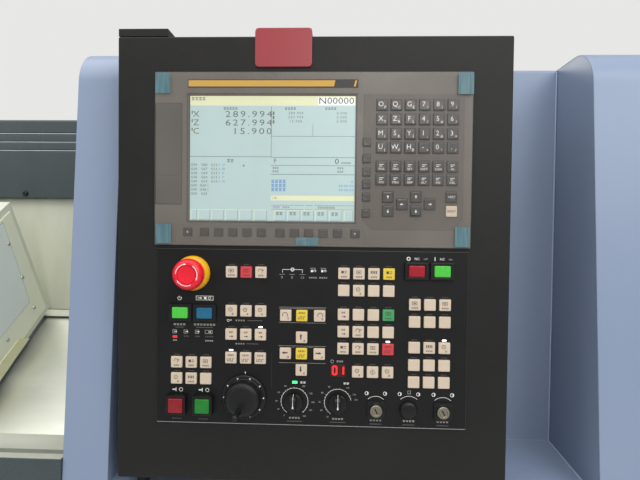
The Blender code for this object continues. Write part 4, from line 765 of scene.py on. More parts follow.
def makePicture(p):
    shape = Shape("displayPicture")
    left, top, width, height = p["left"], p["top"], p["width"], p["height"]

    def patch(x, y, w, h, tone="grey", level=2):
        out = p["out"] + 0.03 * level
        onPanel(shape, left + x + w / 2, top + y + h / 2, w, h, out - 0.4, out, lit[tone], 0)

    def line(text, x, y, size, tone="grey", spread=1.0, wide=1.0):
        place = facing(left + x, top + y, p["out"] + 0.12)
        shape.words(text, size / 1000, lit[tone], place, spread, wide)

    def signs(x, y, count, size, tone="grey"):
        # stands for a written word: a row of small signs of three strokes
        for n in range(count):
            for dx, dy, w, h in ((0, -0.45, 0.9, 0.24), (0.1, -0.05, 0.7, 0.22), (0, 0.3, 0.9, 0.2)):
                patch(x + (n * 1.15 + dx) * size, y + size * dy, size * w, size * h, tone)

    middle, size = (left + width / 2 - 0.4, top + height / 2 - 0.2), (width + 1.6, height + 1.2)
    onPanel(shape, *middle, *size, -0.1, p["out"] - 0.1, slotDark, 0)
    patch(0, 0, width, height, "ground", 0)
    patch(0, 0, width, 12.2, "header", 1)
    patch(163, 1.4, 46, 10, "white")
    line("N00000", 186, 6.4, 11.5, "dark", 1.0, 1.2)
    signs(2, 3.6, 4, 4.0)
    for x, count in ((43, 5), (121, 4), (172, 4)):
        signs(x, 15.8, count, 3.2)
    # axis letters with their positions, large at the left and small at the right
    for row, (axis, value, x) in enumerate(p["positions"]):
        y = 23.3 + row * p["axisRow"]
        patch(1.9, y - 4.4, 1.5, 3.8, "olive")
        line(axis, 7.8, y, 10.8, "grey", 1.0, 1.12)
        line(value, x, y, 11.2, "grey", 1.27, 1.34)
        patch(105.6, y / 2 + 8.0, 2.2, 4.2, "olive")
        for smallX, text in ((135, value), (193, "0.000")):
            line(text, smallX, 21.7 + row * p["smallRow"], 4.6, "grey", 1.3)
    for divider in p["dividers"]:
        patch(*divider)
    # feed, counters and times
    line("F", 109.2, 82.2, 8.6)
    line("0", 187.5, 82.4, 9.6, "dark", 1.0, 1.15)
    signs(193, 84, 5, 2.2)
    for x in (106, 188):
        for y in (90.6, 95.0):
            signs(x, y, 3, 2.4)
    for row in range(3):
        y = 107.8 + row * p["timeRow"]
        signs(104.6, y - 0.2, 4, 4.2, "blue")
        line("00:00:00" if row else "0", 199.5 if row else 207, y, 4.2, "blue", 1.25)
    patch(103.9, 125.7, 106.3, 6.2, "header")
    signs(106, 128.8, 2, 2.6)
    for x, w in ((104.5, 41.5), (148.5, 9.0), (160, 49.5)):
        for y in (137.7, 143.0):
            patch(x, y, w, 0.4)
    signs(107, 140.4, 3, 2.6, "violet")
    signs(119, 140.4, 4, 2.0)
    signs(164, 140.4, 8, 2.4)
    # heading and rows of codes in the lower left field
    signs(47.8, 81.8, 2, 4.0)
    patch(68.0, 87.0, 2.2, 2.2, "blue")
    for row, code in enumerate(p["codes"]):
        y = 87.4 + row * p["codeRow"]
        line("G00", 5.4, y, 4.4, "dark", 1.1)
        line(code, 18.6, y, 4.4, "dark", 1.1)
        if row < len(p["counts"]):
            line("G13.1", 33.0, y, 4.4, "dark", 1.1)
            line(p["counts"][row], 42.6, y, 4.4, "blue", 1.1)
    # soft key boxes with pale edges
    for low, high in p["softBoxes"]:
        patch(low, 143.9, high - low, 0.7, "header")
        patch(low, 143.9, 0.7, 13.6, "header")
        patch(high - 0.4, 144.4, 0.4, 13.0)
        patch(low, 157.1, high - low, 0.5)
        if 100 < low < 195:
            signs(low + 2.6, 148.4, 2, 4.0)
    shape.done("panel", "display", ["lcd_screen"], weigh=False)


makePicture(screen)

# Clear film over the unit, held by tape at its corners

filmSheet = {
    "left": -198.4, "right": 197.9, "top": 47.8, "bottom": 264.4, "out": 6.3, "steps": (60, 34),
    "tapes": (
        (-189.6, 60.5, 19, 25.8), (190.0, 61.0, 19, 26.6), (-188.1, 251.1, 19.4, 24.6),
        (188.5, 251.0, 18.5, 25.0), (-4.8, 259.0, 28.2, 10.4)),
}


def makeFilm(p):
    width, height = p["right"] - p["left"], p["bottom"] - p["top"]
    columns, rows = p["steps"]
    part = bmesh.new()
    grid = []
    for j in range(rows + 1):
        grid.append([])
        for i in range(columns + 1):
            u, v = i / columns, j / rows
            rim = min(u, 1 - u, v, 1 - v)
            swell = 0.9 * math.sin(7 * u + 2 * v) * math.sin(4 * v + 1.3 * u)
            swell += 0.35 * math.sin(23 * u - 9 * v)
            out = p["out"] + swell * min(1, rim * 9)
            place = spot(p["left"] + u * width, p["top"] + v * height, out)
            grid[-1].append(part.verts.new(place))
    for a, b in zip(grid, grid[1:]):
        for i in range(columns):
            part.faces.new((a[i], b[i], b[i + 1], a[i + 1]))
    Shape("protectiveFilm").take(part, film).done("panel", weigh=False)
    tape = Shape("cornerTape")
    for sheet in p["tapes"]:
        onPanel(tape, *sheet, p["out"] + 0.05, p["out"] + 0.3, tealTape, 0.08, 1)
    tape.done("panel")


makeFilm(filmSheet)
print("display picture and film made")
# Lower key plate

plate = {
    "left": -198.0, "right": 198.0, "top": 270.0, "bottom": 495.0, "rise": 2.5,
    "keyRise": 2.6, "key": 14.5, "label": 9.4, "jogFrames": ((342.8, 362.6), (392.3, 414.0)),
}
leftX, midX, rightX = (-171.0, -152.1, -133.3), (-100.9, -82.0, -63.2), (131.6, 150.4, 169.3)
jogX, wideX = (-31.1, -10.6, 12.0), (42.1, 61.0, 79.8, 98.7)
keyRows = (  # columns, height and the sign of each key, with its colour where it isn't white
    (leftX, 415.5, "turn pair box"), (leftX, 436.4, "ring bars ."),
    (midX, 298.8, "box box:red turn"), (midX, 348.3, "ring ring ring"),
    (midX, 378.4, "step step step"), (midX, 408.6, "wave wave wave"),
    (jogX, 353.1, "curl wave:yellow curl"), (jogX[1:2], 380.8, "up"),
    (jogX, 401.6, "left wave:yellow right"), (jogX[1:2], 422.5, "down"),
    (wideX, 298.7, "pair box bars pair:yellow"), (wideX, 320.2, ". ring . ."),
    (wideX, 350.7, "step . . box:green"), (wideX, 372.5, "step turn . ."),
    (wideX, 394.0, "pair turn box wave:red"), (wideX[1:], 423.3, "ring rhomb ring"),
    (rightX, 336.7, "box . box"), (rightX, 358.5, ". . ."), (rightX, 391.0, ". bars ring"),
    (rightX, 413.2, ". . ."), (rightX, 434.9, ". . ."),
)
litLamps = ((-63.2, 369.0), (-100.9, 399.2), (98.7, 384.6), (169.3, 381.6))
keyColours = {"": keyWhite, "red": keyRed, "yellow": keyYellow, "green": keyGreen}
litWhite = glowing("litWhiteLamp", srgb(240, 244, 255), 3.4)
litGreen = glowing("litGreenLamp", srgb(60, 255, 120), 2.4)
litRed = glowing("litRedLamp", srgb(255, 34, 34), 1.7)
keyInk = printed("keyLegendInk", srgb(66, 60, 56))
labelInk = printed("labelInk", srgb(96, 93, 88))
# dim grey for the rim round the key plate: painted highlight of the plate's edge
plateRimSheen = moulding("plateRimSheen", srgb(78, 77, 74), 0.35, 900)
inkDepth = 0.0001


class Print:
    # screen-printed signs on the panel, in millimetres, at one height over its face
    def __init__(self, name, out, ink=whiteInk, small=greyInk):
        self.shape, self.out, self.ink, self.small = Shape(name), out, ink, small

    def bar(self, x, down, w, h, finish=None, over=0.0):
        mark(self.shape, x, down, w, h, self.out + over, finish or self.ink)

    def frame(self, x, down, w, h, finish=None, line=0.5):
        for side in (-1, 1):
            self.bar(x + side * (w - line) / 2, down, line, h, finish)
            self.bar(x, down + side * (h - line) / 2, w - 2 * line, line, finish)

    def flat(self, points, x, down, turn=0.0, finish=None, over=0.0):
        place = facing(x, down, self.out - 0.05 + over, turn)
        self.shape.prism(mm(*points), inkDepth, finish or self.ink, place)

    def arc(self, x, down, radius, start=0, end=350, line=0.5, finish=None):
        count = max(3, int(abs(end - start) / 9) + 1)
        angles = [start + (end - start) * n / count for n in range(count + 1)]
        points = [onCircle(radius + line / 2, a) for a in angles]
        points += [onCircle(radius - line / 2, a) for a in reversed(angles)]
        self.flat(points if end > start else points[::-1], x, down, 0, finish)

    def arrow(self, x, down, size, turn=0, thick=0.16):
        half = [(-0.5, thick / 2), (0.06, thick / 2), (0.06, 0.24), (0.5, 0)]
        points = [(a, -b) for a, b in half] + half[2::-1]
        self.flat([(a * size, b * size) for a, b in points], x, down, turn)

    def caption(self, x, down, count, w=2.2, h=2.2, gap=0.8, finish=None):
        # a line of blocks where the real plate has words
        for n in range(count):
            step = (n - (count - 1) / 2) * (w + gap)
            self.bar(x + step, down - h * 0.3, w, h * 0.28, finish or self.small)
            self.bar(x + step, down + h * 0.22, w * 0.8, h * 0.36, finish or self.small)

    def words(self, text, x, down, size, finish=None):
        self.shape.words(text, size / 1000, finish or self.ink, facing(x, down, self.out))

    def done(self):
        self.shape.done("panel", weigh=False)


def keySign(p, kind, x, down):
    if kind == "ring":
        p.arc(x - 0.8, down - 1.6, 2.3, line=0.55)
        p.bar(x - 0.8, down - 1.6, 1.6, 0.6)
        p.caption(x + 2.0, down + 4.0, 1, 2.2, 2.2, 0.5)
    elif kind == "box":
        p.frame(x - 0.3, down - 1.8, 6.2, 4.2)
        p.bar(x - 0.3, down - 1.8, 2.6, 1.2)
        p.caption(x, down + 4.0, 4, 1.7, 2.0, 0.5)
    elif kind == "turn":
        p.arc(x - 0.6, down - 1.8, 2.4, -60, 200, 0.6)
        p.bar(x + 2.8, down - 2.8, 1.8, 1.0)
        p.caption(x, down + 4.0, 3, 1.8, 2.0, 0.5)
    elif kind == "pair":
        p.bar(x - 1.7, down - 1.8, 3.0, 3.2)
        for up in (3.0, 0.8):
            p.bar(x + 2.2, down - up, 3.0, 0.7)
        p.caption(x, down + 4.0, 3, 2.0, 2.0, 0.5)
    elif kind == "bars":
        for n in range(4):
            p.bar(x - 3.2 + n * 2.1, down - 2.0, 1.1, 3.4)
        p.caption(x, down + 4.0, 4, 1.6, 2.0, 0.5)
    elif kind == "step":
        p.caption(x, down - 2.6, 2, 2.0, 2.2, 0.5)
        p.arrow(x + 0.6, down + 2.6, 5.4, 0, 0.12)
    elif kind == "wave":
        p.caption(x, down - 3.4, 4, 1.6, 2.2, 0.5)
        for n in range(4):
            p.bar(x - 3.3 + n * 2.2, down + (1.2 if n % 2 else 4.2), 2.7, 0.55)
            p.bar(x - 4.4 + n * 2.2, down + 2.7, 0.55, 3.5)
    elif kind == "curl":
        side = 1 if x < 0 else -1
        p.arc(x - 0.8 * side, down - 0.6, 3.2, 90 - 130 * side, 90 + 120 * side, 0.7)
        p.caption(x + 3.4, down + 3.8, 1, 1.8, 2.4, 0.4)
    elif kind == "rhomb":
        for size, over, finish in ((3.6, 0, keyInk), (2.9, 0.03, keyWhite)):
            p.flat([(0, size), (-size, 0), (0, -size), (size, 0)], x, down, 0, finish, over)
        p.bar(x, down, 0.8, 3.0, over=0.04)
    elif kind != ".":
        p.arrow(x - 0.8, down - 1.0, 7.4, {"right": 0, "up": 90, "left": 180, "down": 270}[kind], 0.2)
        p.caption(x + 3.6, down + 4.2, 1, 2.0, 2.4, 0.4)


def makeKeyPlate(p):
    shape = Shape("keyPlateShell")
    width, height = p["right"] - p["left"], p["bottom"] - p["top"]
    x, down, rise = (p["right"] + p["left"]) / 2, (p["bottom"] + p["top"]) / 2, p["rise"]
    # grey rim round the plate and a bright steel strip along its lower edge: painted highlights of the
    # plate's edge
    onPanel(shape, x, down, width, height, -0.2, rise - 0.5, plateRimSheen, 0.5)
    onPanel(shape, x, down, width - 0.8, height - 0.8, -0.2, rise, keyPlateSkin, 0.25)
    onPanel(shape, x, p["bottom"] - 1.1, width - 1.6, 0.7, rise - 0.1, rise + 0.12, groundSteel, 0.1)
    shape.done("panel", "moulded_black", ["key_plate"])
    caps, labels = Shape("plateKeys"), Print("keyLabels", rise + 0.02)
    signs = Print("keySigns", rise + p["keyRise"] - 0.1, keyInk, keyInk)
    size, well = p["key"], p["key"] + 1.8
    for columns, rowDown, row in keyRows:
        for kx, word in zip(columns, row.split()):
            kind, _, colour = word.partition(":")
            # dark well round each key: painted shade in the gap
            onPanel(caps, kx, rowDown, well, well, rise - 0.2, rise + 0.4, slotDark, 0.2, 1)
            keycap(caps, kx, rowDown, size, rise, p["keyRise"], keyColours[colour])
            keySign(signs, kind, kx, rowDown)
            if columns[0] not in jogX:
                labels.caption(kx, rowDown - p["label"], 4, 1.5, 1.2, 0.5, labelInk)
    for kx, lampDown in litLamps:
        onPanel(caps, kx, lampDown, 5.0, 1.9, rise, rise + 0.5, litWhite, 0.4)
    for low, high in p["jogFrames"]:
        for line in (low, low + 1.6, high):
            labels.bar(jogX[1] + 0.8, line, 60.0, 0.35, greyInk)
    caps.done("panel", weigh=False)
    signs.done()
    labels.done()


wheel = {
    "x": -83.6, "down": 459.0, "radius": 28.7, "cap": 19.2, "flange": 4.0, "rise": 18.0,
    "flutes": 48, "dots": 10, "ticks": 100,
    "crank": 13.8, "crankAngle": 253.5, "grip": 4.5, "reach": 45.0,
}
scales = {  # x, down, start and end angle and radius of each arc, with the angle of each figure
    (-18.9, 463.5, 236, -54, 17.2): (
        (236, "0"), (208, "20"), (180, "40"), (150, "60"), (120, "80"),
        (61, "100"), (28, "120"), (-2, "140"), (-29, "160"), (-57, "200")),
    (36.3, 463.6, 238, 10, 17.0): (
        (237, "50"), (208, "60"), (180, "70"), (148, "80"),
        (119, "90"), (58, "110"), (28, "120"), (10, "125")),
}
scaleStep = 13


def makePlatePrint(p):
    ink = Print("platePrint", p["rise"] + 0.02)
    # bracket over the three axis letters, with two signs beside it
    ink.bar(-23.2, 294.8, 25.4, 0.5)
    for x in (-35.9, -10.5):
        ink.bar(x, 296.9, 0.5, 3.8)
    ink.arc(-23.2, 294.8, 1.9, line=0.9)
    for x, letter in ((-36.4, "X"), (-23.7, "Z"), (-10.3, "C1")):
        ink.bar(x, 301.0, 7.0, 0.4, greyInk)
        ink.words(letter, x, 305.0, 4.0, greyInk)
    for x in (2.9, 16.0):
        ink.bar(x, 292.8, 7.4, 0.5, greyInk)
        ink.bar(x - 1.4, 296.2, 2.6, 3.0)
        ink.arc(x + 2.2, 296.2, 1.3, -60, 240, 0.6)
        ink.caption(x, 304.8, 4, 2.0, 2.0, 0.7)
    # power sign and the framed unlock sign over the two lit buttons
    ink.arc(-168.0, 333.6, 2.3, 120, 420, 0.65)
    ink.bar(-168.0, 332.0, 0.65, 3.0)
    ink.frame(-135.6, 333.0, 22.6, 5.6, line=0.55)
    ink.arrow(-141.5, 333.0, 6.0)
    ink.bar(-134.8, 333.0, 3.4, 3.0)
    ink.arc(-129.4, 333.0, 1.6, line=0.6)
    # words, four signs and their words under them, the first with a red lamp
    for x, down, count, line in ((-168.0, 367.4, 4, 371.0), (-135.6, 367.2, 7, 370.8)):
        ink.caption(x, down, count, 3.2, 2.7, 0.9)
        ink.bar(x, line, 11 if count == 4 else 22, 0.7, labelInk)
    for x in (-173.8, -159.3, -144.6, -129.5):
        last = x == -129.5
        ink.frame(x - 0.6, 376.6, 9.6 if last else 5.0, 4.8, greyInk)
        ink.arrow(x + 0.8, 376.6, 4.2)
        ink.caption(x, 382.6, 5 if last else 3, 1.7, 1.7, 0.5, labelInk)
    ink.caption(-173.8, 388.0, 2, 2.2, 2.0, 0.6)
    ink.caption(-129.5, 388.0, 4, 2.2, 2.0, 0.6)
    onPanel(ink.shape, -173.8, 383.3, 5.6, 2.4, p["rise"], p["rise"] + 0.5, litRed, 0.4)
    # words between the middle rows
    ink.arc(-105.0, 361.2, 1.4)
    ink.arrow(-102.0, 360.6, 3.6)
    for down, x, lineDown, w in ((361.0, -70.6, 360.9, 19), (390.9, -73.5, 390.8, 15)):
        ink.caption(-89.6, down, 4, 2.2, 1.9, 1.0)
        ink.bar(x, lineDown, w, 0.8, labelInk)
    # off and on words over the control's own buttons
    ink.arc(123.2, 279.2, 2.0, line=1.1)
    ink.bar(156.1, 279.1, 1.0, 4.6)
    for x, word, wordX, wordDown in ((133.8, "OFF", 144.4, 279.5), (165.4, "ON", 175.4, 279.6)):
        ink.words("NC", x, 279.3, 4.4)
        ink.words(word, wordX, wordDown, 3.0, greyInk)
    # hold and start signs over the two square buttons
    for x in (-169.9, -135.7):
        ink.arrow(x - 4.4, 451.6, 5.0, 0, 0.3)
        ink.bar(x - 2.2, 451.6, 0.9, 5.0)
        ink.arc(x + 4.2, 451.6, 2.2, line=0.7)
        ink.caption(x - 1.2, 489.2, 4, 2.6, 1.6, 0.7, labelInk)
    # scales round the override knobs
    for (x, down, start, end, radius), figures in scales.items():
        ink.arc(x, down, radius, start, end, 0.45)
        for n in range(int((start - end) / scaleStep) + 1):
            ink.bar(*onCircle(radius + 0.9, scaleStep * n - start, x, down), 0.5, 0.5)
        for degrees, text in figures:
            a = math.radians(degrees)
            ink.words(text, x + 23.4 * math.cos(a), down - 22.4 * math.sin(a), 2.9, greyInk)
        ink.caption(x, 484.8, 4, 2.8, 2.4, 0.9)
        ink.bar(x, 489.1, 20, 0.8, labelInk)
        ink.caption(x + 10.5, 439.0, 2, 3.2, 2.6, 0.6, whiteInk)
    # signs and arcs over the two locks and the plug
    for x, radius in ((84.5, 14.8), (126.3, 15.8), (168.8, 15.2)):
        ink.arc(x, 469.2, radius, 132, 48)
        for side in (-1, 1):
            ink.arc(x + side * 11.6, 450.8, 2.1, line=0.7)
            ink.bar(x + side * 11.6 + 1.2, 450.8, 1.0, 3.6)
        ink.caption(x, 485.2, 4, 3.1, 2.6, 0.8)
        ink.bar(x, 490.0, 15, 0.8, labelInk)
    ink.frame(126.5, 448.4, 4.0, 4.2, greyInk)
    ink.bar(wheel["x"] + 1.1, 428.1, 0.9, 3.0)
    # sign over the tool figures
    ink.arc(28.6, 411.0, 1.8, finish=greyInk)
    ink.caption(38.4, 411.0, 3, 2.4, 2.4, 0.6)
    ink.bar(-48.6, 425.0, 0.3, 44.0, darkInk)
    ink.done()


makeKeyPlate(plate)
makePlatePrint(plate)

# Two-figure tool display

toolDisplay = {"x": 36.2, "down": 422.2, "width": 18.0, "height": 15.0, "figure": 10.2, "stroke": 2.1}
segments = {"0": "abcdef", "1": "bc"}


def makeToolDisplay(p):
    shape = Shape("toolDisplay")
    x, down, width, height, base = p["x"], p["down"], p["width"], p["height"], plate["rise"]
    onPanel(shape, x, down, width + 2.4, height + 2.4, base - 0.2, base + 1.2, blackPlastic, 0.5)
    onPanel(shape, x, down, width, height, base, base + 1.3, darkRedGlass, 0.2)
    h, t = p["figure"], p["stroke"]
    w = h * 0.48
    bars = {
        "a": (0, -h / 2, w, t), "b": (w / 2, -h / 4, t, h / 2), "c": (w / 2, h / 4, t, h / 2),
        "d": (0, h / 2, w, t), "e": (-w / 2, h / 4, t, h / 2), "f": (-w / 2, -h / 4, t, h / 2),
    }
    for figure, dx in (("0", -4.3), ("1", 4.3)):
        for name in segments[figure]:
            cx, cd, sw, sh = bars[name]
            size = (sw * 0.9 + 0.1, sh * 0.9 + 0.1)
            onPanel(shape, x + dx + cx, down + cd, *size, base + 1.2, base + 1.42, litRed, 0.1, 1)
    shape.done("panel")


darkRedGlass = moulding("darkRedGlass", srgb(64, 12, 16), 0.2)
makeToolDisplay(toolDisplay)

# Push buttons with their lit caps, each on its own body

oblong = {"cap": (20, 14), "frame": (30, 22), "rise": 4}
square = {"cap": (18.5, 18.5), "frame": (25, 25), "rise": 10}
buttons = {
    "power_on_button": (-166.4, 351.8, "greenLens", oblong),
    "door_unlock_button": (-135.1, 351.8, "blueLens", oblong),
    "nc_off_button": (133.2, 294.4, "redLens", oblong),
    "nc_on_button": (165.1, 294.4, "greenLens", oblong),
    "feed_hold_button": (-169.9, 469.5, "holdLens", square),
    "cycle_start_button": (-135.7, 469.5, "startLens", square),
}
lenses = {  # finish and the record's slot
    "greenLens": (lens("greenLens", srgb(62, 164, 52), 0.28), "green_lens"),
    "blueLens": (lens("blueLens", srgb(18, 84, 114), 0.20), "blue_lens"),
    "redLens": (lens("redLens", srgb(140, 6, 26), 0.14), "dark_red_lens"),
    "holdLens": (lens("holdLens", srgb(122, 6, 20), 0.08), "dark_red_lens"),
    "startLens": (lens("startLens", srgb(4, 106, 26), 0.08), "green_lens"),
}


def makeButtons():
    frames = Shape("buttonFrames")
    base = plate["rise"]
    for name, (x, down, colour, kind) in buttons.items():
        (width, height), outer, rise = kind["cap"], kind["frame"], base + kind["rise"]
        w, h = ((out - size) / 2 - 0.35 for out, size in zip(outer, kind["cap"]))
        for side in (-1, 1):
            cx, cd = x + side * (outer[0] - w) / 2, down + side * (outer[1] - h) / 2
            onPanel(frames, cx, down, w, outer[1], base - 0.2, rise, grip, 0.9)
            onPanel(frames, x, cd, outer[0] - 0.6, h, base - 0.2, rise - 0.05, grip, 0.9)
        cap = Shape(name.replace("_button", "_cap"))
        finish, slot = lenses[colour]
        onPanel(cap, x, down, width, height, -4, rise + 1.5, finish, 1.4, 4)
        onPanel(cap, x, down, width - 4.2, height - 4.2, rise + 1.0, rise + 1.6, finish, 0.5)
        cap.done(name + "_body", slot, [name])
    frames.done("panel", "moulded_black")


makeButtons()

# Emergency stop

stop = {
    "x": -150.8, "down": 301.1, "collar": 22.2, "collarBore": 12.6, "head": 19.8, "under": 15.8,
    "top": 30.5, "stem": 12.0, "bore": 8.0, "arrows": (175, 55, -65),
}


def makeStop(p):
    place = facing(p["x"], p["down"])
    collar = Shape("stopCollar")
    r, b, base = p["collar"], p["collarBore"], plate["rise"]
    rim = [(b, 0.1), (b, 8), (b + 1, 8.8), (r - 4.2, 8.8), (r - 1.2, 6.2), (r, 3), (r, 0.1), (b, 0.1)]
    collar.turn(mm(*[(a, base + up) for a, up in rim]), yellowPlastic, place, 56)
    collar.done("panel", "yellow_plastic", ["estop_collar"])
    stem = Shape("stopStem")
    s, end = p["stem"], p["under"] + p["bore"] - 0.3
    neck = [(s, end - 6.7), (s - 1, end - 7.7), (s - 1, end - 9.7), (s, end - 10.4)]
    stem.turn(mm((0, end), (s, end), *neck, (s, -6), (0, -6)), grip, place, 32)
    stem.done("stop_stem", "moulded_black", ["estop_stem"])
    head = Shape("stopHead")
    h, top, under = p["head"], p["top"], p["under"]
    crown = (
        (0, -1.8), (0.30, -1.3), (0.54, -0.7), (0.555, -1.5), (0.59, -1.5), (0.605, -0.3), (0.66, 0),
        (0.78, -0.6), (0.88, -2.2), (0.96, -5.0), (1, -8.8))
    profile = [(h * share, top + drop) for share, drop in crown]
    profile += [(h * 0.99, under + 6), (h * 0.96, under + 2), (h * 0.88, under)]
    profile += [(s + 0.4, under), (s + 0.4, under + 8), (0, under + 8)]
    head.turn(mm(*profile), redPlastic, place, 56)
    # three thin white arrows, clockwise round its face
    level = place @ shift(z=(top - 0.7) / 1000)
    for start in p["arrows"]:
        angles = [start - n * 6 for n in range(13)]
        points = [onCircle(h * 0.70, a) for a in angles]
        points += [onCircle(h * 0.655, a) for a in reversed(angles)]
        head.prism(mm(*points), 0.0008, whiteInk, level)
        out = Vector(onCircle(1, angles[-1]))
        ahead = Vector((out.y, -out.x))
        tip = [out * h * 0.62, out * h * 0.735, out * h * 0.66 + ahead * 3]
        head.prism(mm(*tip), 0.0008, whiteInk, level)
    head.done("stop_head", "switch_red", ["estop_head"])


makeStop(stop)

# Handwheel and its crank grip

def makeWheel(p):
    place = facing(p["x"], p["down"])
    r, cap, back = p["radius"], p["cap"], plate["rise"] + 0.3
    top, flange = back + p["rise"], back + p["flange"]
    shape = Shape("handwheelDisc")
    wall = [(0, top - 0.4), (cap * 0.90, top - 0.2), (cap * 0.97, top - 0.6), (cap, top - 1.4)]
    wall += [(cap + 1.2, top - 1.6), (cap + 3, top - 3.6)]
    skirt = [(cap + 4.2, flange + 0.6), (cap + 4.9, flange), (r - 2.2, flange), (r - 0.8, flange - 0.6)]
    shape.turn(mm(*wall, *skirt, (r, flange - 1.6), (r, back), (0, back)), grip, place, 72)
    # finger flutes round the wall of the cap
    low, high = mm((cap + 2.8, -0.5, flange + 0.4), (cap + 4.4, 0.5, top - 4.6))
    for n in range(p["flutes"]):
        shape.block(low, high, grip, 0.0002, 1, place @ spin(360 / p["flutes"] * n))
    # pale dots and fine division lines of the flange
    for n in range(p["dots"]):
        dot = place @ spin(360 / p["dots"] * (n + 0.5)) @ shift(y=r * 0.885 / 1000)
        dome = mm((0, flange + 0.16), (0.95, flange + 0.14), (1.1, flange - 0.1))
        shape.turn(dome, whiteInk, dot, 12)
    low, high = mm((r - 2.15, -0.12, flange - 0.2), (r - 0.95, 0.12, flange + 0.08))
    for n in range(p["ticks"]):
        shape.block(low, high, keyDark, 0, 1, place @ spin(360 / p["ticks"] * n))
    ring = ((0.86, -0.3), (0.865, 0.1), (0.885, 0.1), (0.89, -0.3))
    shape.turn(mm(*[(cap * share, top + up) for share, up in ring]), keyDark, place, 56)
    shape.done("wheel", "moulded_black", ["handwheel"])
    out, up = onCircle(p["crank"], p["crankAngle"])
    g, reach = p["grip"], p["reach"]
    knob = Shape("handwheelGrip")
    ball = [(b, a) for a, b in (onCircle(g, t, reach - g) for t in range(0, 131, 10))]
    foot = [(g * 0.62, reach - 12.5), (g * 0.56, top + 4), (g * 0.8, top + 2.2), (g * 0.8, top + 0.3)]
    knob.turn(mm(*ball, *foot, (0, top + 0.3)), grip, facing(p["x"] + out, p["down"] - up), 28)
    knob.done("grip", "moulded_black", ["handwheel_grip"])


makeWheel(wheel)

# Override knobs, key locks and blind plug

knobs = {
    "feed_override_knob": ("feed_knob", -19.9, 464.3, 90),
    "spindle_override_knob": ("speed_knob", 36.4, 464.2, 90),
}
locks = {"key_lock_left": ("lock_left", 84.8, 472.2), "key_lock_right": ("lock_right", 169.0, 472.2)}


def makeKnob(name, body, x, down, angle, ridges=36):
    place = facing(x, down, plate["rise"] + 0.3)
    shape = Shape(body + "Cap")
    shape.turn(mm((0, 4.8), (10, 4.8), (11.2, 4), (11.5, 2.4), (11.5, 0), (0, 0)), grip, place, 48)
    low, high = mm((10.8, -0.3, 0.4), (11.48, 0.3, 3.6))
    for n in range(ridges):
        shape.block(low, high, grip, 0, 1, place @ spin(360 / ridges * n))
    turn = place @ spin(angle - 90)
    side = turn @ Matrix(((0, 0, 1), (0, 1, 0), (1, 0, 0))).to_4x4()
    wing = mm((2, -11), (12, -10.8), (15.8, -8.6), (15.8, 5.6), (12.8, 10), (2, 11.2))
    shape.prism(wing, 0.0072, grip, side @ shift(z=-0.0036), 0.0012, 3)
    # pale pointer: a wedge on the crest and a line down the nose and over the skirt
    wedge = mm((-1.1, -3), (1.1, -3), (0.4, 0.6), (-0.4, 0.6))
    shape.prism(wedge, 0.0002, whiteInk, turn @ shift(z=0.01575))
    shape.block(*mm((-0.35, 0.4, 15.5), (0.35, 5.2, 15.94)), whiteInk, 0, 1, turn)
    line = [turn @ Vector(point) for point in mm((0, 5.2, 15.7), (0, 9.8, 13), (0, 11.3, 4.2))]
    shape.tube(line, 0.00032, whiteInk, 6)
    shape.done(body, "moulded_black", [name])


def makeLocks():
    bases = Shape("lockBases")
    for name, (body, x, down) in locks.items():
        place = facing(x, down, plate["rise"] + 6)
        shape = Shape(body + "Barrel")
        barrel = mm((1.8, -1.2), (4.6, -1), (5.2, -0.2), (7.2, 0), (7.9, -0.8), (8, -13.5), (0, -13.5))
        shape.turn(barrel, lockNickel, place)
        shape.turn(mm((0, -1.1), (4.8, -1)), lockNickel, place, 32)
        # dark slit: painted shade in the keyhole
        slit = place @ Matrix.Rotation(0.5, 4, "Z")
        shape.block(*mm((-0.8, -3.6, -1.6), (0.8, 3.6, -0.6)), slotDark, 0, 1, slit)
        shape.done(body, "ground_steel", [name])
        foot = facing(x, down, plate["rise"])
        bases.prism(roundedOutline(0.023, 0.023, 0.0025), 0.0022, grip, foot, 0.0006, 2)
        bases.turn(mm((8.2, 3), (9, 3.6), (10.4, 3.2), (10.8, 2)), grip, foot)
    bases.done("panel", "moulded_black")
    plug = Shape("blindPlug")
    dome = mm((0, 5.6), (6.6, 5.8), (9.4, 5.2), (10.8, 3.6), (11, 0.3), (0, 0.3))
    plug.turn(dome, grip, facing(125.7, 470.7, plate["rise"]))
    plug.done("panel", "moulded_black", ["round_plug"])
    lamps = Shape("plateLamps")
    onPanel(lamps, -18.8, 438.8, 6.4, 3.2, plate["rise"], plate["rise"] + 0.6, litGreen, 0.6)
    lamps.done("panel")


for knobName, values in knobs.items():
    makeKnob(knobName, *values)
makeLocks()
print("key plate and its controls made")
# Covers of the machine

cover = {
    "top": 1.650, "bottom": 0.120, "back": -0.2453, "end": 1.650, "sheet": 0.0025,
    "frontSetback": 0.0356, "leanHeight": 1.398, "lean": 0.077, "knee": 0.950,
    "corner": 0.055, "steps": 20, "columnLeft": 0.600, "columnRight": 0.662, "cheekBottom": 1.050,
    "caseLeft": 1.303, "caseCheekBottom": 0.562,
    "bayWall": -0.595, "ledgeDrop": 0.576, "ledgeFall": 0.0714, "ledgeBend": 0.004,
    "serviceDoor": ((-0.49, -0.29), (0.75, 1.45)),
}
panelFront = -0.755
leanAngle = math.atan(cover["lean"])


def frontAt(z, p=cover):
    return panelFront + p["frontSetback"] + (max(z, p["knee"]) - p["leanHeight"]) * p["lean"]


def coverLine(inset, bottom, back=cover["back"], p=cover):
    # (y, z) up the leaning front, round the top and back
    cz = p["top"] - p["corner"]
    cy = frontAt(cz) + p["corner"] / math.cos(leanAngle)
    bends = sorted({bottom, max(bottom, p["knee"])})
    line = [(frontAt(z) + inset / math.cos(leanAngle), z) for z in bends]
    lean, radius = math.degrees(leanAngle), p["corner"] - inset
    for s in range(p["steps"] + 1):
        line.append(onCircle(radius, 180 - lean - (90 - lean) * s / p["steps"], cy, cz))
    return line + [(back, p["top"] - inset)]


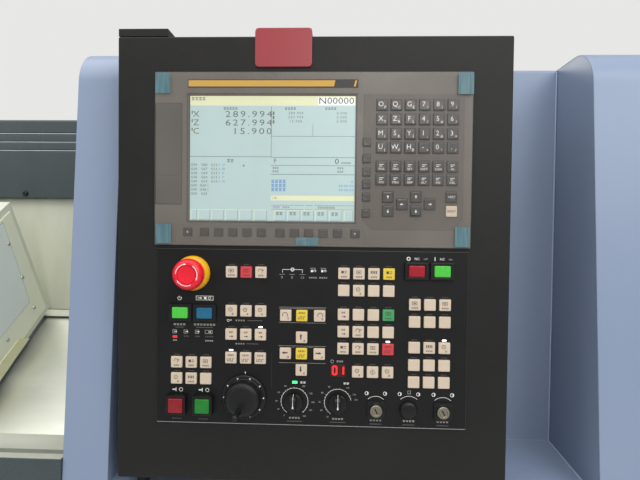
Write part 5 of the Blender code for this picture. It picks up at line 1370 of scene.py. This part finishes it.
def ribbon(shape, outer, inner, left, right, finish, soft=0.0):
    # a bent sheet between two (y, z) lines, run along x, with softened long ends
    part = bmesh.new()
    ring = outer + inner[::-1]
    low, high = ([part.verts.new((x, y, z)) for y, z in ring] for x in (left, right))
    joinRings(part, low, high)
    for a in range(len(outer) - 1):
        b = len(ring) - 1 - a
        for side in (low, high):
            part.faces.new((side[a], side[a + 1], side[b - 1], side[b]))
    bmesh.ops.recalc_face_normals(part, faces=part.faces)
    if soft:
        across = [(e, [abs(f.normal.x) > 0.99 for f in e.link_faces]) for e in part.edges]
        ends = [e for e, flat in across if len(flat) == 2 and any(flat) and not all(flat)]
        soften(part, ends, soft, 2)
    return shape.take(part, finish)


def cheek(shape, x, inset, bottom, p=cover):
    # a flat side sheet that closes a cover
    line = coverLine(inset, bottom) + [(p["back"], bottom)]
    shape.prism(line, p["sheet"], casing, shift(x) @ toRight)


def makeBay(p):
    # column, recess and ledge round the panel
    shape = Shape("bayShell")
    thick, top, wall, bend = p["sheet"], p["top"], p["bayWall"], p["ledgeBend"]
    lines = [coverLine(inset, p["bottom"]) for inset in (0, thick)]
    ribbon(shape, *lines, p["columnLeft"], p["columnRight"], casing, 0.0012)
    cheek(shape, p["columnLeft"] + 0.0004, 0.0008, p["bottom"])
    cheek(shape, p["columnRight"] - thick - 0.0004, 0.0008, p["cheekBottom"])
    # lower front sheet, ledge and recess wall in one bent sheet, from the column to the casing
    ledgeBack = top - 0.010 - p["ledgeDrop"]
    nose = frontAt(ledgeBack - 0.008)
    ledgeFront = ledgeBack - (wall - nose) * p["ledgeFall"]
    sheet = [(frontAt(z), z) for z in (p["bottom"], p["knee"], ledgeFront - bend)]
    sheet += [onCircle(bend, 180 - 18 * s, nose + bend, ledgeFront - bend) for s in range(1, 6)]
    sheet += [(wall - 0.003, ledgeBack), (wall - 0.0008, ledgeBack + 0.0008), (wall, ledgeBack + 0.003)]
    sheet += [(wall, top - 0.006), (wall + 0.0012, top - 0.0012), (wall + 0.006, top - 0.0002)]
    sheet.append((p["back"], top - 0.0002))
    back = []
    for y, z in sheet:
        drop = thick if y > nose + 0.001 and z < top - 0.1 else 0
        back.append((min(y + thick, p["back"]), min(max(p["bottom"], z - drop), top - thick)))
    ribbon(shape, sheet, back, p["columnRight"] - 0.0006, p["caseLeft"] - 0.0003, casing)
    # sealing beads in the corners of the recess
    low, high = (wall - 0.0008, ledgeBack + 0.002), (wall - 0.0008, top - 0.004)
    left, right = p["columnRight"] + 0.0010, p["caseLeft"] - 0.0012
    for x, a, b, radius in (
            (right, low, high, 0.0013), (left, low, high, 0.0013),
            (right, (wall - 0.002, ledgeBack + 0.0006), (nose + 0.008, ledgeFront + 0.0006), 0.0014)):
        shape.tube([Vector((x, *a)), Vector((x, *b))], radius, casingBead, 8)
    shape.done("machine", "lilac_enamel", ["panel_bay"], 30)


casingBead = enamel("lilacBead", srgb(176, 190, 218), srgb(150, 166, 200))


def makeRightCasing(p):
    shape = Shape("rightCasing")
    lines = [coverLine(inset, p["bottom"]) for inset in (0, p["sheet"])]
    ribbon(shape, *lines, p["caseLeft"], p["end"], casing, 0.0016)
    cheek(shape, p["end"] - p["sheet"] - 0.0004, 0.0010, p["bottom"])
    cheek(shape, p["caseLeft"] + 0.0004, 0.0010, p["caseCheekBottom"])
    # shadow line of the maintenance door in the end sheet
    x0, x1 = p["end"] - 0.0003, p["end"] - 0.00005
    (y0, y1), (z0, z1) = p["serviceDoor"]
    for y in (y0, y1):
        shape.block((x0, y - 0.001, z0), (x1, y + 0.001, z1), slotDark, 0)
    for z in (z0, z1):
        shape.block((x0, y0 - 0.001, z - 0.001), (x1, y1 + 0.001, z + 0.001), slotDark, 0)
    shape.done("machine", "lilac_enamel", ["right_cover"], 30)


makeBay(cover)
makeRightCasing(cover)
print("column, bay and right casing made")

# Upper rail beam with its grooves and bolts

beam = {
    "front": -0.245, "depth": 0.060, "bottom": 1.462, "top": 1.648, "left": -1.650, "right": 1.3027,
    "grooves": (1.615, 1.595, 1.575), "groove": 0.0044,
    "boltX": [0.5195 - 0.30 * n for n in range(4)] + [0.96], "boltZ": 1.473,
}


def makeBeam(p):
    shape = Shape("railBeam")
    front, back, low, top = p["front"], p["front"] + p["depth"], p["bottom"], p["top"]
    line = [(front, low + 0.0015), (front + 0.0015, low), (back, low), (back, top)]
    line += [(front + 0.004, top), (front, top - 0.004)]
    for z in p["grooves"]:
        half = p["groove"] / 2
        line += [(front, z + half + 0.001), (front + 0.0022, z + half - 0.0006), (front + 0.0026, z)]
        line += [(front + 0.0006, z - half), (front, z - half - 0.0018)]
    shape.prism(line, p["right"] - p["left"], railEnamel, shift(p["left"]) @ toRight)
    for z in p["grooves"]:
        # bright strip in each groove: painted highlight where the groove catches the light
        a = (p["left"] + 0.001, front - 0.00025, z - 0.0011)
        shape.block(a, (p["right"] - 0.001, front + 0.002, z + 0.0011), grooveHighlight, 0.0005)
    head = mm((0, 3), (2.6, 3), (2.6, 4.6), (4.4, 4.6), (5.2, 3.6), (5.4, 0.6), (7, 0.6), (7, -1))
    for x in p["boltX"]:
        shape.turn(head, blackOxide, shift(x, front, p["boltZ"]) @ toFront, 28)
    shape.done("machine", "rail_black", ["top_rail_beam"], 30)


blackOxide = brushed("blackOxide", srgb(70, 76, 76), (1, 1, 0.2), 0.25)
# pale steel of the groove strips: painted highlight
grooveHighlight = brushed("grooveHighlightStrip", srgb(206, 214, 214), (0.03, 1, 1), 0.2)
makeBeam(beam)

# Door sill

sill = {
    "top": 1.087, "height": 0.057, "depth": 0.075, "left": -1.650, "right": 0.5997,
    "groove": 0.0175, "grooveHalf": 0.006, "grooveDepth": 0.012,
}


def makeSill(p):
    shape = Shape("doorSill")
    top, low = p["top"], p["top"] - p["height"]
    front, groove, half = frontAt(low), frontAt(top) + p["groove"], p["grooveHalf"]
    back, deep = front + p["depth"], top - p["grooveDepth"]
    line = [(front, low), (back, low), (back, top - 0.001), (back - 0.001, top), (groove + half, top)]
    line += [(groove + half, deep), (groove - half, deep), (groove - half, top)]
    line += [(front + 0.0025, top), (front + 0.0008, top - 0.0008), (front, top - 0.003)]
    shape.prism(line, p["right"] - p["left"], railEnamel, shift(p["left"]) @ toRight)
    # bright sheet laid on the sill and down into the door's groove
    for near, far, z0, z1 in (
            (front + 0.002, groove - 0.0062, top - 0.0005, top + 0.00012),
            (groove + 0.0060, back - 0.0008, top - 0.0005, top + 0.00012),
            (groove - 0.0058, groove + 0.0058, deep - 0.0002, deep + 0.00015),
            (groove + 0.0058, groove + 0.0061, deep - 0.0002, top + 0.0001)):
        shape.block((p["left"] + 0.001, near, z0), (p["right"] - 0.001, far, z1), coverSheet, 0)
    shape.done("machine", "rail_black", ["door_sill"], 30)


makeSill(sill)

# Sliding door with its frame, window bead, seal and handle

door = {
    "left": -1.650, "right": -0.4803, "low": 1.0873, "thick": 0.035,
    "windowSide": 0.230, "windowLow": 1.180, "windowHigh": 1.480,
    "bead": 0.008, "seal": (1.0980, 1.5900), "hook": (-0.255, -0.215, 1.6483, 1.6498),
}


def makeDoor(p):
    shape = Shape("doorSkin")
    left, right, side, low, high = p["left"], p["right"], p["windowSide"], p["windowLow"], p["windowHigh"]
    lines = [coverLine(inset, p["low"]) for inset in (0, p["thick"])]
    depth = p["thick"] / math.cos(leanAngle)
    ribbon(shape, *lines, left, left + side, casing, 0.0012)
    ribbon(shape, *lines, right - side, right, casing, 0.0012)
    # sheets below and above the window
    above = [point for point in lines[0] if point[1] > high]
    aboveIn = [point for point in lines[1] if point[1] > high][-len(above):]
    sill0, sill1, head = (frontAt(p["low"]), p["low"]), (frontAt(low), low), (frontAt(high), high)
    for outer, inner in (
            ([sill0, sill1], [(y + depth, z) for y, z in (sill0, sill1)]),
            ([head] + above, [(head[0] + depth, high)] + aboveIn)):
        ribbon(shape, outer, inner, left + side - 0.0005, right - side + 0.0005, casing)
    # guide lip below and hook above
    groove = frontAt(sill["top"]) + sill["groove"]
    a, b = groove - 0.0055, groove + 0.0055
    shape.block((left, a, sill["top"] - 0.0117), (right, b, sill["top"] + 0.012), casing, 0.0008)
    y0, y1, z0, z1 = p["hook"]
    shape.block((left, y0, z0), (right, y1, z1), casing, 0.0004)
    shape.done("door", "lilac_enamel", ["sliding_door"], 30)
    bead = Shape("windowBead")
    half = p["bead"]
    for z in (low, high):
        y = frontAt(z)
        a = (left + side - 0.012, y - 0.0028, z - half)
        bead.block(a, (right - side + 0.012, y + 0.010, z + half), blackRubber, 0.002, 3)
    length = (high - low - 0.008) / math.cos(leanAngle)
    for x in (left + side, right - side):
        place = shift(x, frontAt(low + 0.004), low + 0.004) @ Matrix.Rotation(-leanAngle, 4, "X")
        a, b = (-half, -0.0026, -0.010), (half, 0.010, length + 0.010)
        bead.block(a, b, blackRubber, 0.002, 3, place)
    # brush seal down the closing edge
    y, (z0, z1) = frontAt(1.10) + 0.010, p["seal"]
    bead.block((right - 0.0020, y, z0), (right + 0.0001, y + 0.014, z1), blackRubber, 0.0004, 1)
    bead.done("door")


blackRubber = moulding("blackRubber", srgb(34, 34, 35), 0.6, 400, 1.4)
handle = {
    "inset": 0.090, "low": 1.210, "high": 1.470, "reach": 0.040, "bend": 0.02, "radius": 0.009,
    "steps": 8,
}


def makeHandle(p):
    # a bar on two feet with round corners, and the rose of each foot
    shape = Shape("doorHandleBar")
    x, low, high = door["right"] - p["inset"], p["low"], p["high"]
    radius, corner = p["radius"], p["bend"]
    foot = frontAt(low - radius) - 0.0003
    out = foot - p["reach"] + corner
    turns = [90 * s / p["steps"] for s in range(p["steps"] + 1)]
    line = [(foot, low)] + [onCircle(corner, 270 - t, out, low + corner) for t in turns]
    line += [onCircle(corner, 180 - t, out, high - corner) for t in turns] + [(foot, high)]
    shape.tube([Vector((x, *point)) for point in line], radius, grip, 24)
    stub = [Vector((x, y, high)) for y in (foot - 0.008, frontAt(high) - 0.0005)]
    shape.tube(stub, radius, grip, 24)
    rose = mm((9.5, 6), (12.8, 4.8), (15, 2), (15.2, 0.4), (9.5, 0.4))
    for z in (low, high):
        shape.turn(rose, grip, shift(x, frontAt(z), z) @ toFront, 32)
    shape.done("door", "panel_black", ["door_handle"])


makeDoor(door)
makeHandle(handle)
print("beam, sill and door made")
# Finishes of the solids that keep their imported shape

# lighter copy of the cream for the carriage side plate: painted light on that side
sideCreamLit = enamel("sideCreamLit", srgb(230, 233, 212), srgb(218, 218, 184), 420, 0.38)
dress = (
    (casing, "left_cover front_skirt rear_housing electrical_cabinet cabinet_door"),
    (blackCoat, "panel_pivot_plate cabinet_handle"),
    (cream, "work_area_liner cross_slide"),
    (sideCreamLit, "carriage_side_plate"),
    (casting, "machine_base slant_bed headstock saddle chip_drawer"),
    (turnedSteel, "z_rail_lower z_rail_upper spindle_shaft"),
    (coverSheet, "way_cover_near way_cover_left way_cover_middle way_cover_fixed"),
    (windowGlass, "door_window"),
    (redPlastic, "main_switch"),
    (groundSteel, "turret_disc"),
)


def dressNodes():
    for finish, names in dress:
        for name in names.split():
            mesh = nodes[name].data
            mesh.materials.clear()
            mesh.materials.append(finish.material)
            for face in mesh.polygons:
                face.material_index = 0


dressNodes()

# Chuck with its jaws

slope = {"angle": math.atan(0.7), "y": -0.700, "z": 0.853}


def onSlope(along, up, p=slope):
    # (y, z) of a point measured along the slanted bed and square to it
    y = p["y"] + along * math.cos(p["angle"]) - up * math.sin(p["angle"])
    return y, p["z"] + along * math.sin(p["angle"]) + up * math.cos(p["angle"])


spindle = {  # its place in metres, radii and steps in millimetres
    "at": onSlope(0.270, 0.165), "left": -0.5447, "face": -0.4647, "radius": 110, "bore": 26, "jaws": 3,
    "boltRadius": (50, 86), "jawScrews": (69, 87),
    "steps": (  # half width, inner and outer radius, foot and top of each step of a jaw
        (16, 40, 98, 0, 10.5), (14.5, 50, 97.5, 9, 20), (13, 60, 97, 18, 29.7)),
}


def makeChuck(p):
    y, z = p["at"]
    place = shift(p["left"], y, z) @ toRight
    length, r, b = (p["face"] - p["left"]) * 1000, p["radius"], p["bore"]
    shape = Shape("chuckBody")
    profile = [(b, 0), (r - 3, 0), (r, 3), (r, 20), (r - 1.5, 21.5), (r - 1.5, 23.5), (r, 25)]
    profile += [(r, length - 6), (r - 6, length - 0.8), (r - 20, length), (62, length), (61, length - 1)]
    profile += [(59, length - 1), (58, length), (b + 4, length), (b, length - 4), (b, 0)]
    shape.turn(mm(*profile), turnedSteel, place, 96)
    keyway = mm((34, -7.4, length - 9.5), (r + 0.2, 7.4, length + 0.2))
    bolt = mm((0, -3), (3.4, -3), (3.4, 0.1), (6.2, 0.2), (6.8, -0.6))
    hole = mm((0, -4), (4.2, -4), (4.2, 0), (5.2, 0.08), (5.6, -1))
    for n in range(p["jaws"]):
        around = 360 / p["jaws"] * n
        # dark block in each keyway: painted shade in the slot
        shape.block(*keyway, slotDark, 0.0004, 1, place @ spin(90 + around))
        for radius in p["boltRadius"]:
            at = place @ spin(30 + around) @ shift(radius / 1000, 0, length / 1000)
            shape.turn(bolt, slotDark, at, 6)
    shape.done("spindle", "ground_steel", ["chuck_body"])
    for n in range(p["jaws"]):
        jaw = Shape(f"chuckJaw{n + 1}")
        gap, inFrame = 0.3, shift(p["face"], y, z) @ spin(360 / p["jaws"] * n, "X")
        for half, inner, outer, low, high in p["steps"]:
            ends = mm((gap + low, -half, inner), (gap + high, half, outer))
            jaw.block(*ends, groundSteel, 0.0012, 2, inFrame)
        jaw.block(*mm((-9.7, -6.9, 41), (gap + 2, 6.9, 96)), groundSteel, 0.0004, 1, inFrame)
        for radius in p["jawScrews"]:
            at = inFrame @ shift((gap + 29.8) / 1000, 0, radius / 1000) @ toRight
            jaw.turn(hole, slotDark, at, 20)
        jaw.done(f"jaw_{n + 1}", "ground_steel", [f"chuck_jaw_{n + 1}"])


makeChuck(spindle)

# Carriage: side cover with its button-head screws, and the turret

creamLine = moulding("creamSeam", srgb(150, 150, 122), 0.5)
# inner plate of the carriage side made paler than its paint: painted light on the carriage side
plateCreamLit = enamel("plateCreamLit", srgb(224, 231, 226), srgb(204, 212, 204), 420, 0.36)
stainedEnamel = enamel("stainedEnamel", srgb(222, 220, 180), srgb(204, 200, 146), 420, 0.4)
carriage = {  # outlines and screws as places on the slope
    "right": 0.281,
    "inner": [(0.353, 0.100), (0.522, 0.092), (0.553, 0.284), (0.487, 0.284)],
    "lip": [(0.284, 0.0275), (0.4727, 0.0275), (0.4477, 0.0535), (0.284, 0.0600)],
    "screws": [
        (0.5417, 0.2379), (0.5339, 0.1532), (0.526, 0.0698), (0.4238, 0.0766), (0.335, 0.082),
        (0.378, 0.155), (0.430, 0.228)],
    "wallLip": [(0.5609, 0.0074), (0.5609, 0.0090), (0.5822, 0.0090), (0.5822, 0.0074)],
    "wallLipEnds": (-0.5565, 0.9465), "turretLeft": -0.1302, "turretBolts": 8, "boltCircle": 0.046,
}


def makeCarriage(p):
    shape = Shape("carriageSideTrim")
    x, inner = p["right"], [onSlope(*point) for point in p["inner"]]
    side = shift(x - 0.0001) @ toRight
    shape.prism(inner, 0.0006, plateCreamLit, side)
    shape.prism([onSlope(*point) for point in p["lip"]], 0.0024, stainedEnamel, side, 0.0006)
    for a, b in zip(inner, inner[1:] + inner[:1]):
        shape.tube([Vector((x - 0.0003, *a)), Vector((x - 0.0003, *b))], 0.0009, creamLine, 8)
    head = mm((0, 2.2), (1.8, 2.2), (1.8, 3.2), (3, 3), (4.2, 2), (4.6, 0.2), (6.2, 0.2), (6.2, -0.6))
    for point in p["screws"]:
        shape.turn(head, groundSteel, shift(x - 0.0004, *onSlope(*point)) @ toRight, 24)
    shape.done("cross", "cream_enamel")
    disc = Shape("turretTrim")
    left = shift(p["turretLeft"], *onSlope(0.510, 0.165)) @ toLeft
    disc.turn(mm((0, 4), (20, 3.8), (26, 1.2), (30, 0.8), (30, -4)), turnedSteel, left, 48)
    bolt = mm((0, 1), (2.6, 1), (2.6, 3.2), (5.2, 3), (5.4, 0), (5.4, -2))
    for n in range(p["turretBolts"]):
        place = left @ shift(*onCircle(p["boltCircle"], 360 * n / p["turretBolts"]))
        disc.turn(bolt, slotDark, place, 20)
    disc.done("turret", "ground_steel")


def makeWallLip(p):
    # folded lip that closes the step between the slope's sheets and the rear wall
    shape = Shape("wallLip")
    line, (left, right) = [onSlope(*point) for point in p["wallLip"]], p["wallLipEnds"]
    shape.prism(line, right - left, cream, shift(left) @ toRight)
    shape.done("machine", "cream_enamel")


makeCarriage(carriage)
makeWallLip(carriage)

# Work lamp, with its clear tube cover and end caps

lamp = {"left": -0.450, "right": -0.030, "back": -0.2283, "size": 0.036, "low": 1.414, "cap": 0.014}


def makeLamp(p):
    shape = Shape("workLampBody")
    left, right, y1, z0 = p["left"], p["right"], p["back"], p["low"]
    y0, z1 = y1 - p["size"], z0 + p["size"]
    shape.block((left, y0 + 0.010, z0 + 0.008), (right, y1, z1), keyDark, 0.003)
    shape.block((left + 0.010, y0, z0), (right - 0.010, y1 - 0.012, z1 - 0.012), lampCover, 0.009, 4)
    for x in (left, right - p["cap"]):
        shape.block((x, y0, z0), (x + p["cap"], y1, z1), keyDark, 0.003)
    shape.done("machine", "lamp_cover", ["work_lamp"])


makeLamp(lamp)

# Small fittings of the covers: screws, seams, feet, drawer pull, hinges, vents

buttonHead = mm((0, 2.4), (1.6, 2.4), (1.6, 3.6), (3.4, 3.2), (4.6, 2), (5, 0.2), (6.6, 0.2), (6.6, -1))
fittings = {
    "skirtX": (-1.55, -1.05, -0.55, 0.50), "skirtZ": (0.20, 0.90), "skirtSeams": (-1.10, -0.55),
    "drawerX": (-0.42, 0.52), "drawerZ": (0.19, 0.38), "pullX": (-0.06, 0.16), "pullZ": 0.35,
    "rear": 0.595, "rearX": (-1.60, -1.02, -0.20, 0.20, 1.60), "rearZ": (0.20, 0.62, 1.05, 1.48, 1.60),
    "rearSeams": (-0.98, -0.16), "ventLeft": (-1.50, -0.75), "ventLow": 0.98, "vents": 9,
    "ventPitch": 0.022, "ventLength": 0.42, "cabinetDoor": 0.7797, "hingeX": 1.2435, "hingeY": 0.772,
    "hingeZ": (0.62, 1.38), "doorSeams": ((0.462, 0.4636), (1.5364, 1.538)),
    "feetX": (-1.5, -0.51, 0.51, 1.5), "feetY": (-0.52, 0.495),
}


def screws(shape, across, heights, turn, y=None):
    # a grid of screws at one y, or on the leaning front
    for x in across:
        for z in heights:
            place = shift(x, frontAt(z) if y is None else y, z) @ turn
            shape.turn(buttonHead, groundSteel, place, 20)


def makeFrontFittings(p):
    shape = Shape("skirtFittings")
    screws(shape, p["skirtX"], p["skirtZ"], toFront)
    y = frontAt(0.13)
    for x in p["skirtSeams"]:
        shape.block((x - 0.0008, y - 0.0002, 0.124), (x + 0.0008, y + 0.001, 0.948), slotDark, 0)
    shape.done("machine", "lilac_enamel")
    pull = Shape("drawerFittings")
    screws(pull, p["drawerX"], p["drawerZ"], toFront, y)
    eye = mm((7.2, 4), (10, 3.4), (12, 1), (12.2, 0), (7.2, 0))
    for x in p["pullX"]:
        pull.turn(eye, groundSteel, shift(x, y, p["pullZ"]) @ toFront, 24)
    pull.done("drawer", "drawer_grey")


def makeRearFittings(p):
    shape = Shape("rearFittings")
    y = p["rear"]
    for x in p["ventLeft"]:
        for row in range(p["vents"]):
            z = p["ventLow"] + row * p["ventPitch"]
            end = x + p["ventLength"]
            # dark slot under each louvre: painted shade
            shape.block((x, y - 0.001, z), (end, y + 0.0035, z + 0.010), slotDark, 0.0015)
            a, b = (x - 0.002, y - 0.001, z + 0.009), (end + 0.002, y + 0.006, z + 0.0125)
            shape.block(a, b, casing, 0.0014)
    screws(shape, p["rearX"], p["rearZ"], toRear, y)
    for x in p["rearSeams"]:
        shape.block((x - 0.0008, y - 0.0005, 0.13), (x + 0.0008, y + 0.0003, 1.64), slotDark, 0)
    shape.done("machine", "lilac_enamel")
    cab = Shape("cabinetDoorFittings")
    y, x = p["cabinetDoor"], p["hingeX"]
    for z in p["hingeZ"]:
        pin = [Vector((x, p["hingeY"], z + end)) for end in (-0.045, 0.045)]
        cab.tube(pin, 0.0062, groundSteel, 20)
    plate = mm((0, 1), (22, 1.6), (30, 1.2), (32, 0.2), (32, -1))
    cab.turn(plate, keyDark, shift(0.32, y, 1.0) @ toRear, 32)
    cab.block((0.49, y - 0.001, 1.335), (0.61, y + 0.0012, 1.465), yellowPlastic, 0.0008)
    for z0, z1 in p["doorSeams"]:
        cab.block((0.262, y - 0.0005, z0), (1.238, y + 0.0002, z1), slotDark, 0)
    cab.done("cabinet_door_body", "lilac_enamel")


def makeFeet(p):
    shape = Shape("levellingFeet")
    foot = mm((0, 0), (54.5, 0), (54.9, 4), (54.9, 12), (50, 18), (30, 24), (30, 34), (21, 36), (21, 60))
    nut = mm((23.5, 40), (23.5, 52), (12, 52.1))
    for x in p["feetX"]:
        for y in p["feetY"]:
            shape.turn(foot, darkCasting, shift(x, y))
            shape.turn(nut, turnedSteel, shift(x, y), 6)
    shape.done("machine", "casting_grey")


darkCasting = castMetal("darkCasting", srgb(70, 72, 72))
makeFrontFittings(fittings)
makeRearFittings(fittings)
makeFeet(fittings)
print("fittings made")

# Floor, lights and surroundings

studio = {
    "floor": srgb(222, 222, 220), "floorHalf": 14, "air": (0.80, 0.83, 0.87), "airStrength": 0.55,
    "wall": (0.80, 0.80, 0.79),
}
lamps = (  # name, place, aim, size, watts and colour
    ("topSoft", (0.2, -1.2, 3.6), (0.3, -0.3, 1.0), (4.0, 2.6), 66, (1.0, 0.98, 0.94)),
    ("rearSoft", (-0.8, 4.2, 3.0), (0.0, 0.6, 0.9), (3.4, 2.4), 80, (1.0, 0.99, 0.97)),
    ("frontRight", (2.9, -3.1, 3.2), (0.9, -0.6, 1.3), (2.4, 2.2), 58, (0.95, 0.97, 1.0)),
    ("frontLeft", (-2.8, -3.2, 2.8), (-0.4, -0.4, 1.2), (2.4, 2.0), 12, (1.0, 0.98, 0.95)),
    ("windowStrip", (1.25, -3.5, 2.3), (1.0, -0.76, 1.5), (0.26, 0.8), 12, (1.0, 0.96, 0.9)),
)


def makeStage(p):
    shape = bmesh.new()
    bmesh.ops.create_grid(shape, x_segments=2, y_segments=2, size=p["floorHalf"])
    mesh = bpy.data.meshes.new("floor")
    shape.to_mesh(mesh)
    shape.free()
    floor = bpy.data.objects.new("floor", mesh)
    bpy.context.scene.collection.objects.link(floor)
    look = Finish("paleFloor", p["floor"], 0.75)
    look.set(Roughness=0.65 + look.noise(30, 4) * 0.15)
    mesh.materials.append(look.material)


def makeWorld(p):
    # soft sky for the light, a plain pale wall for the camera
    world = bpy.data.worlds.new("studio")
    world.use_nodes = True
    bpy.context.scene.world = world
    tree = world.node_tree
    back = tree.nodes["Background"]
    rays = tree.nodes.new("ShaderNodeLightPath")
    pale = tree.nodes.new("ShaderNodeBackground")
    for node, colour, strength in ((back, p["air"], p["airStrength"]), (pale, p["wall"], 1.0)):
        node.inputs["Color"].default_value = (*colour, 1)
        node.inputs["Strength"].default_value = strength
    blend = tree.nodes.new("ShaderNodeMixShader")
    seen = calc("MAXIMUM", Wire(rays.outputs["Is Camera Ray"]), Wire(rays.outputs["Is Transmission Ray"]))
    plug(blend.inputs[0], seen)
    tree.links.new(back.outputs[0], blend.inputs[1])
    tree.links.new(pale.outputs[0], blend.inputs[2])
    tree.links.new(blend.outputs[0], tree.nodes["World Output"].inputs[0])


def addLamp(name, place, target, size, power, colour):
    data = bpy.data.lights.new(name, "AREA")
    data.shape = "RECTANGLE"
    data.size, data.size_y = size
    data.energy, data.color = power, colour
    piece = bpy.data.objects.new(name, data)
    bpy.context.scene.collection.objects.link(piece)
    piece.location = place
    piece.rotation_euler = (Vector(target) - Vector(place)).to_track_quat("-Z", "Y").to_euler()


makeStage(studio)
makeWorld(studio)
for values in lamps:
    addLamp(*values)
bpy.context.scene.view_settings.view_transform = "Standard"
print("floor and lights made")
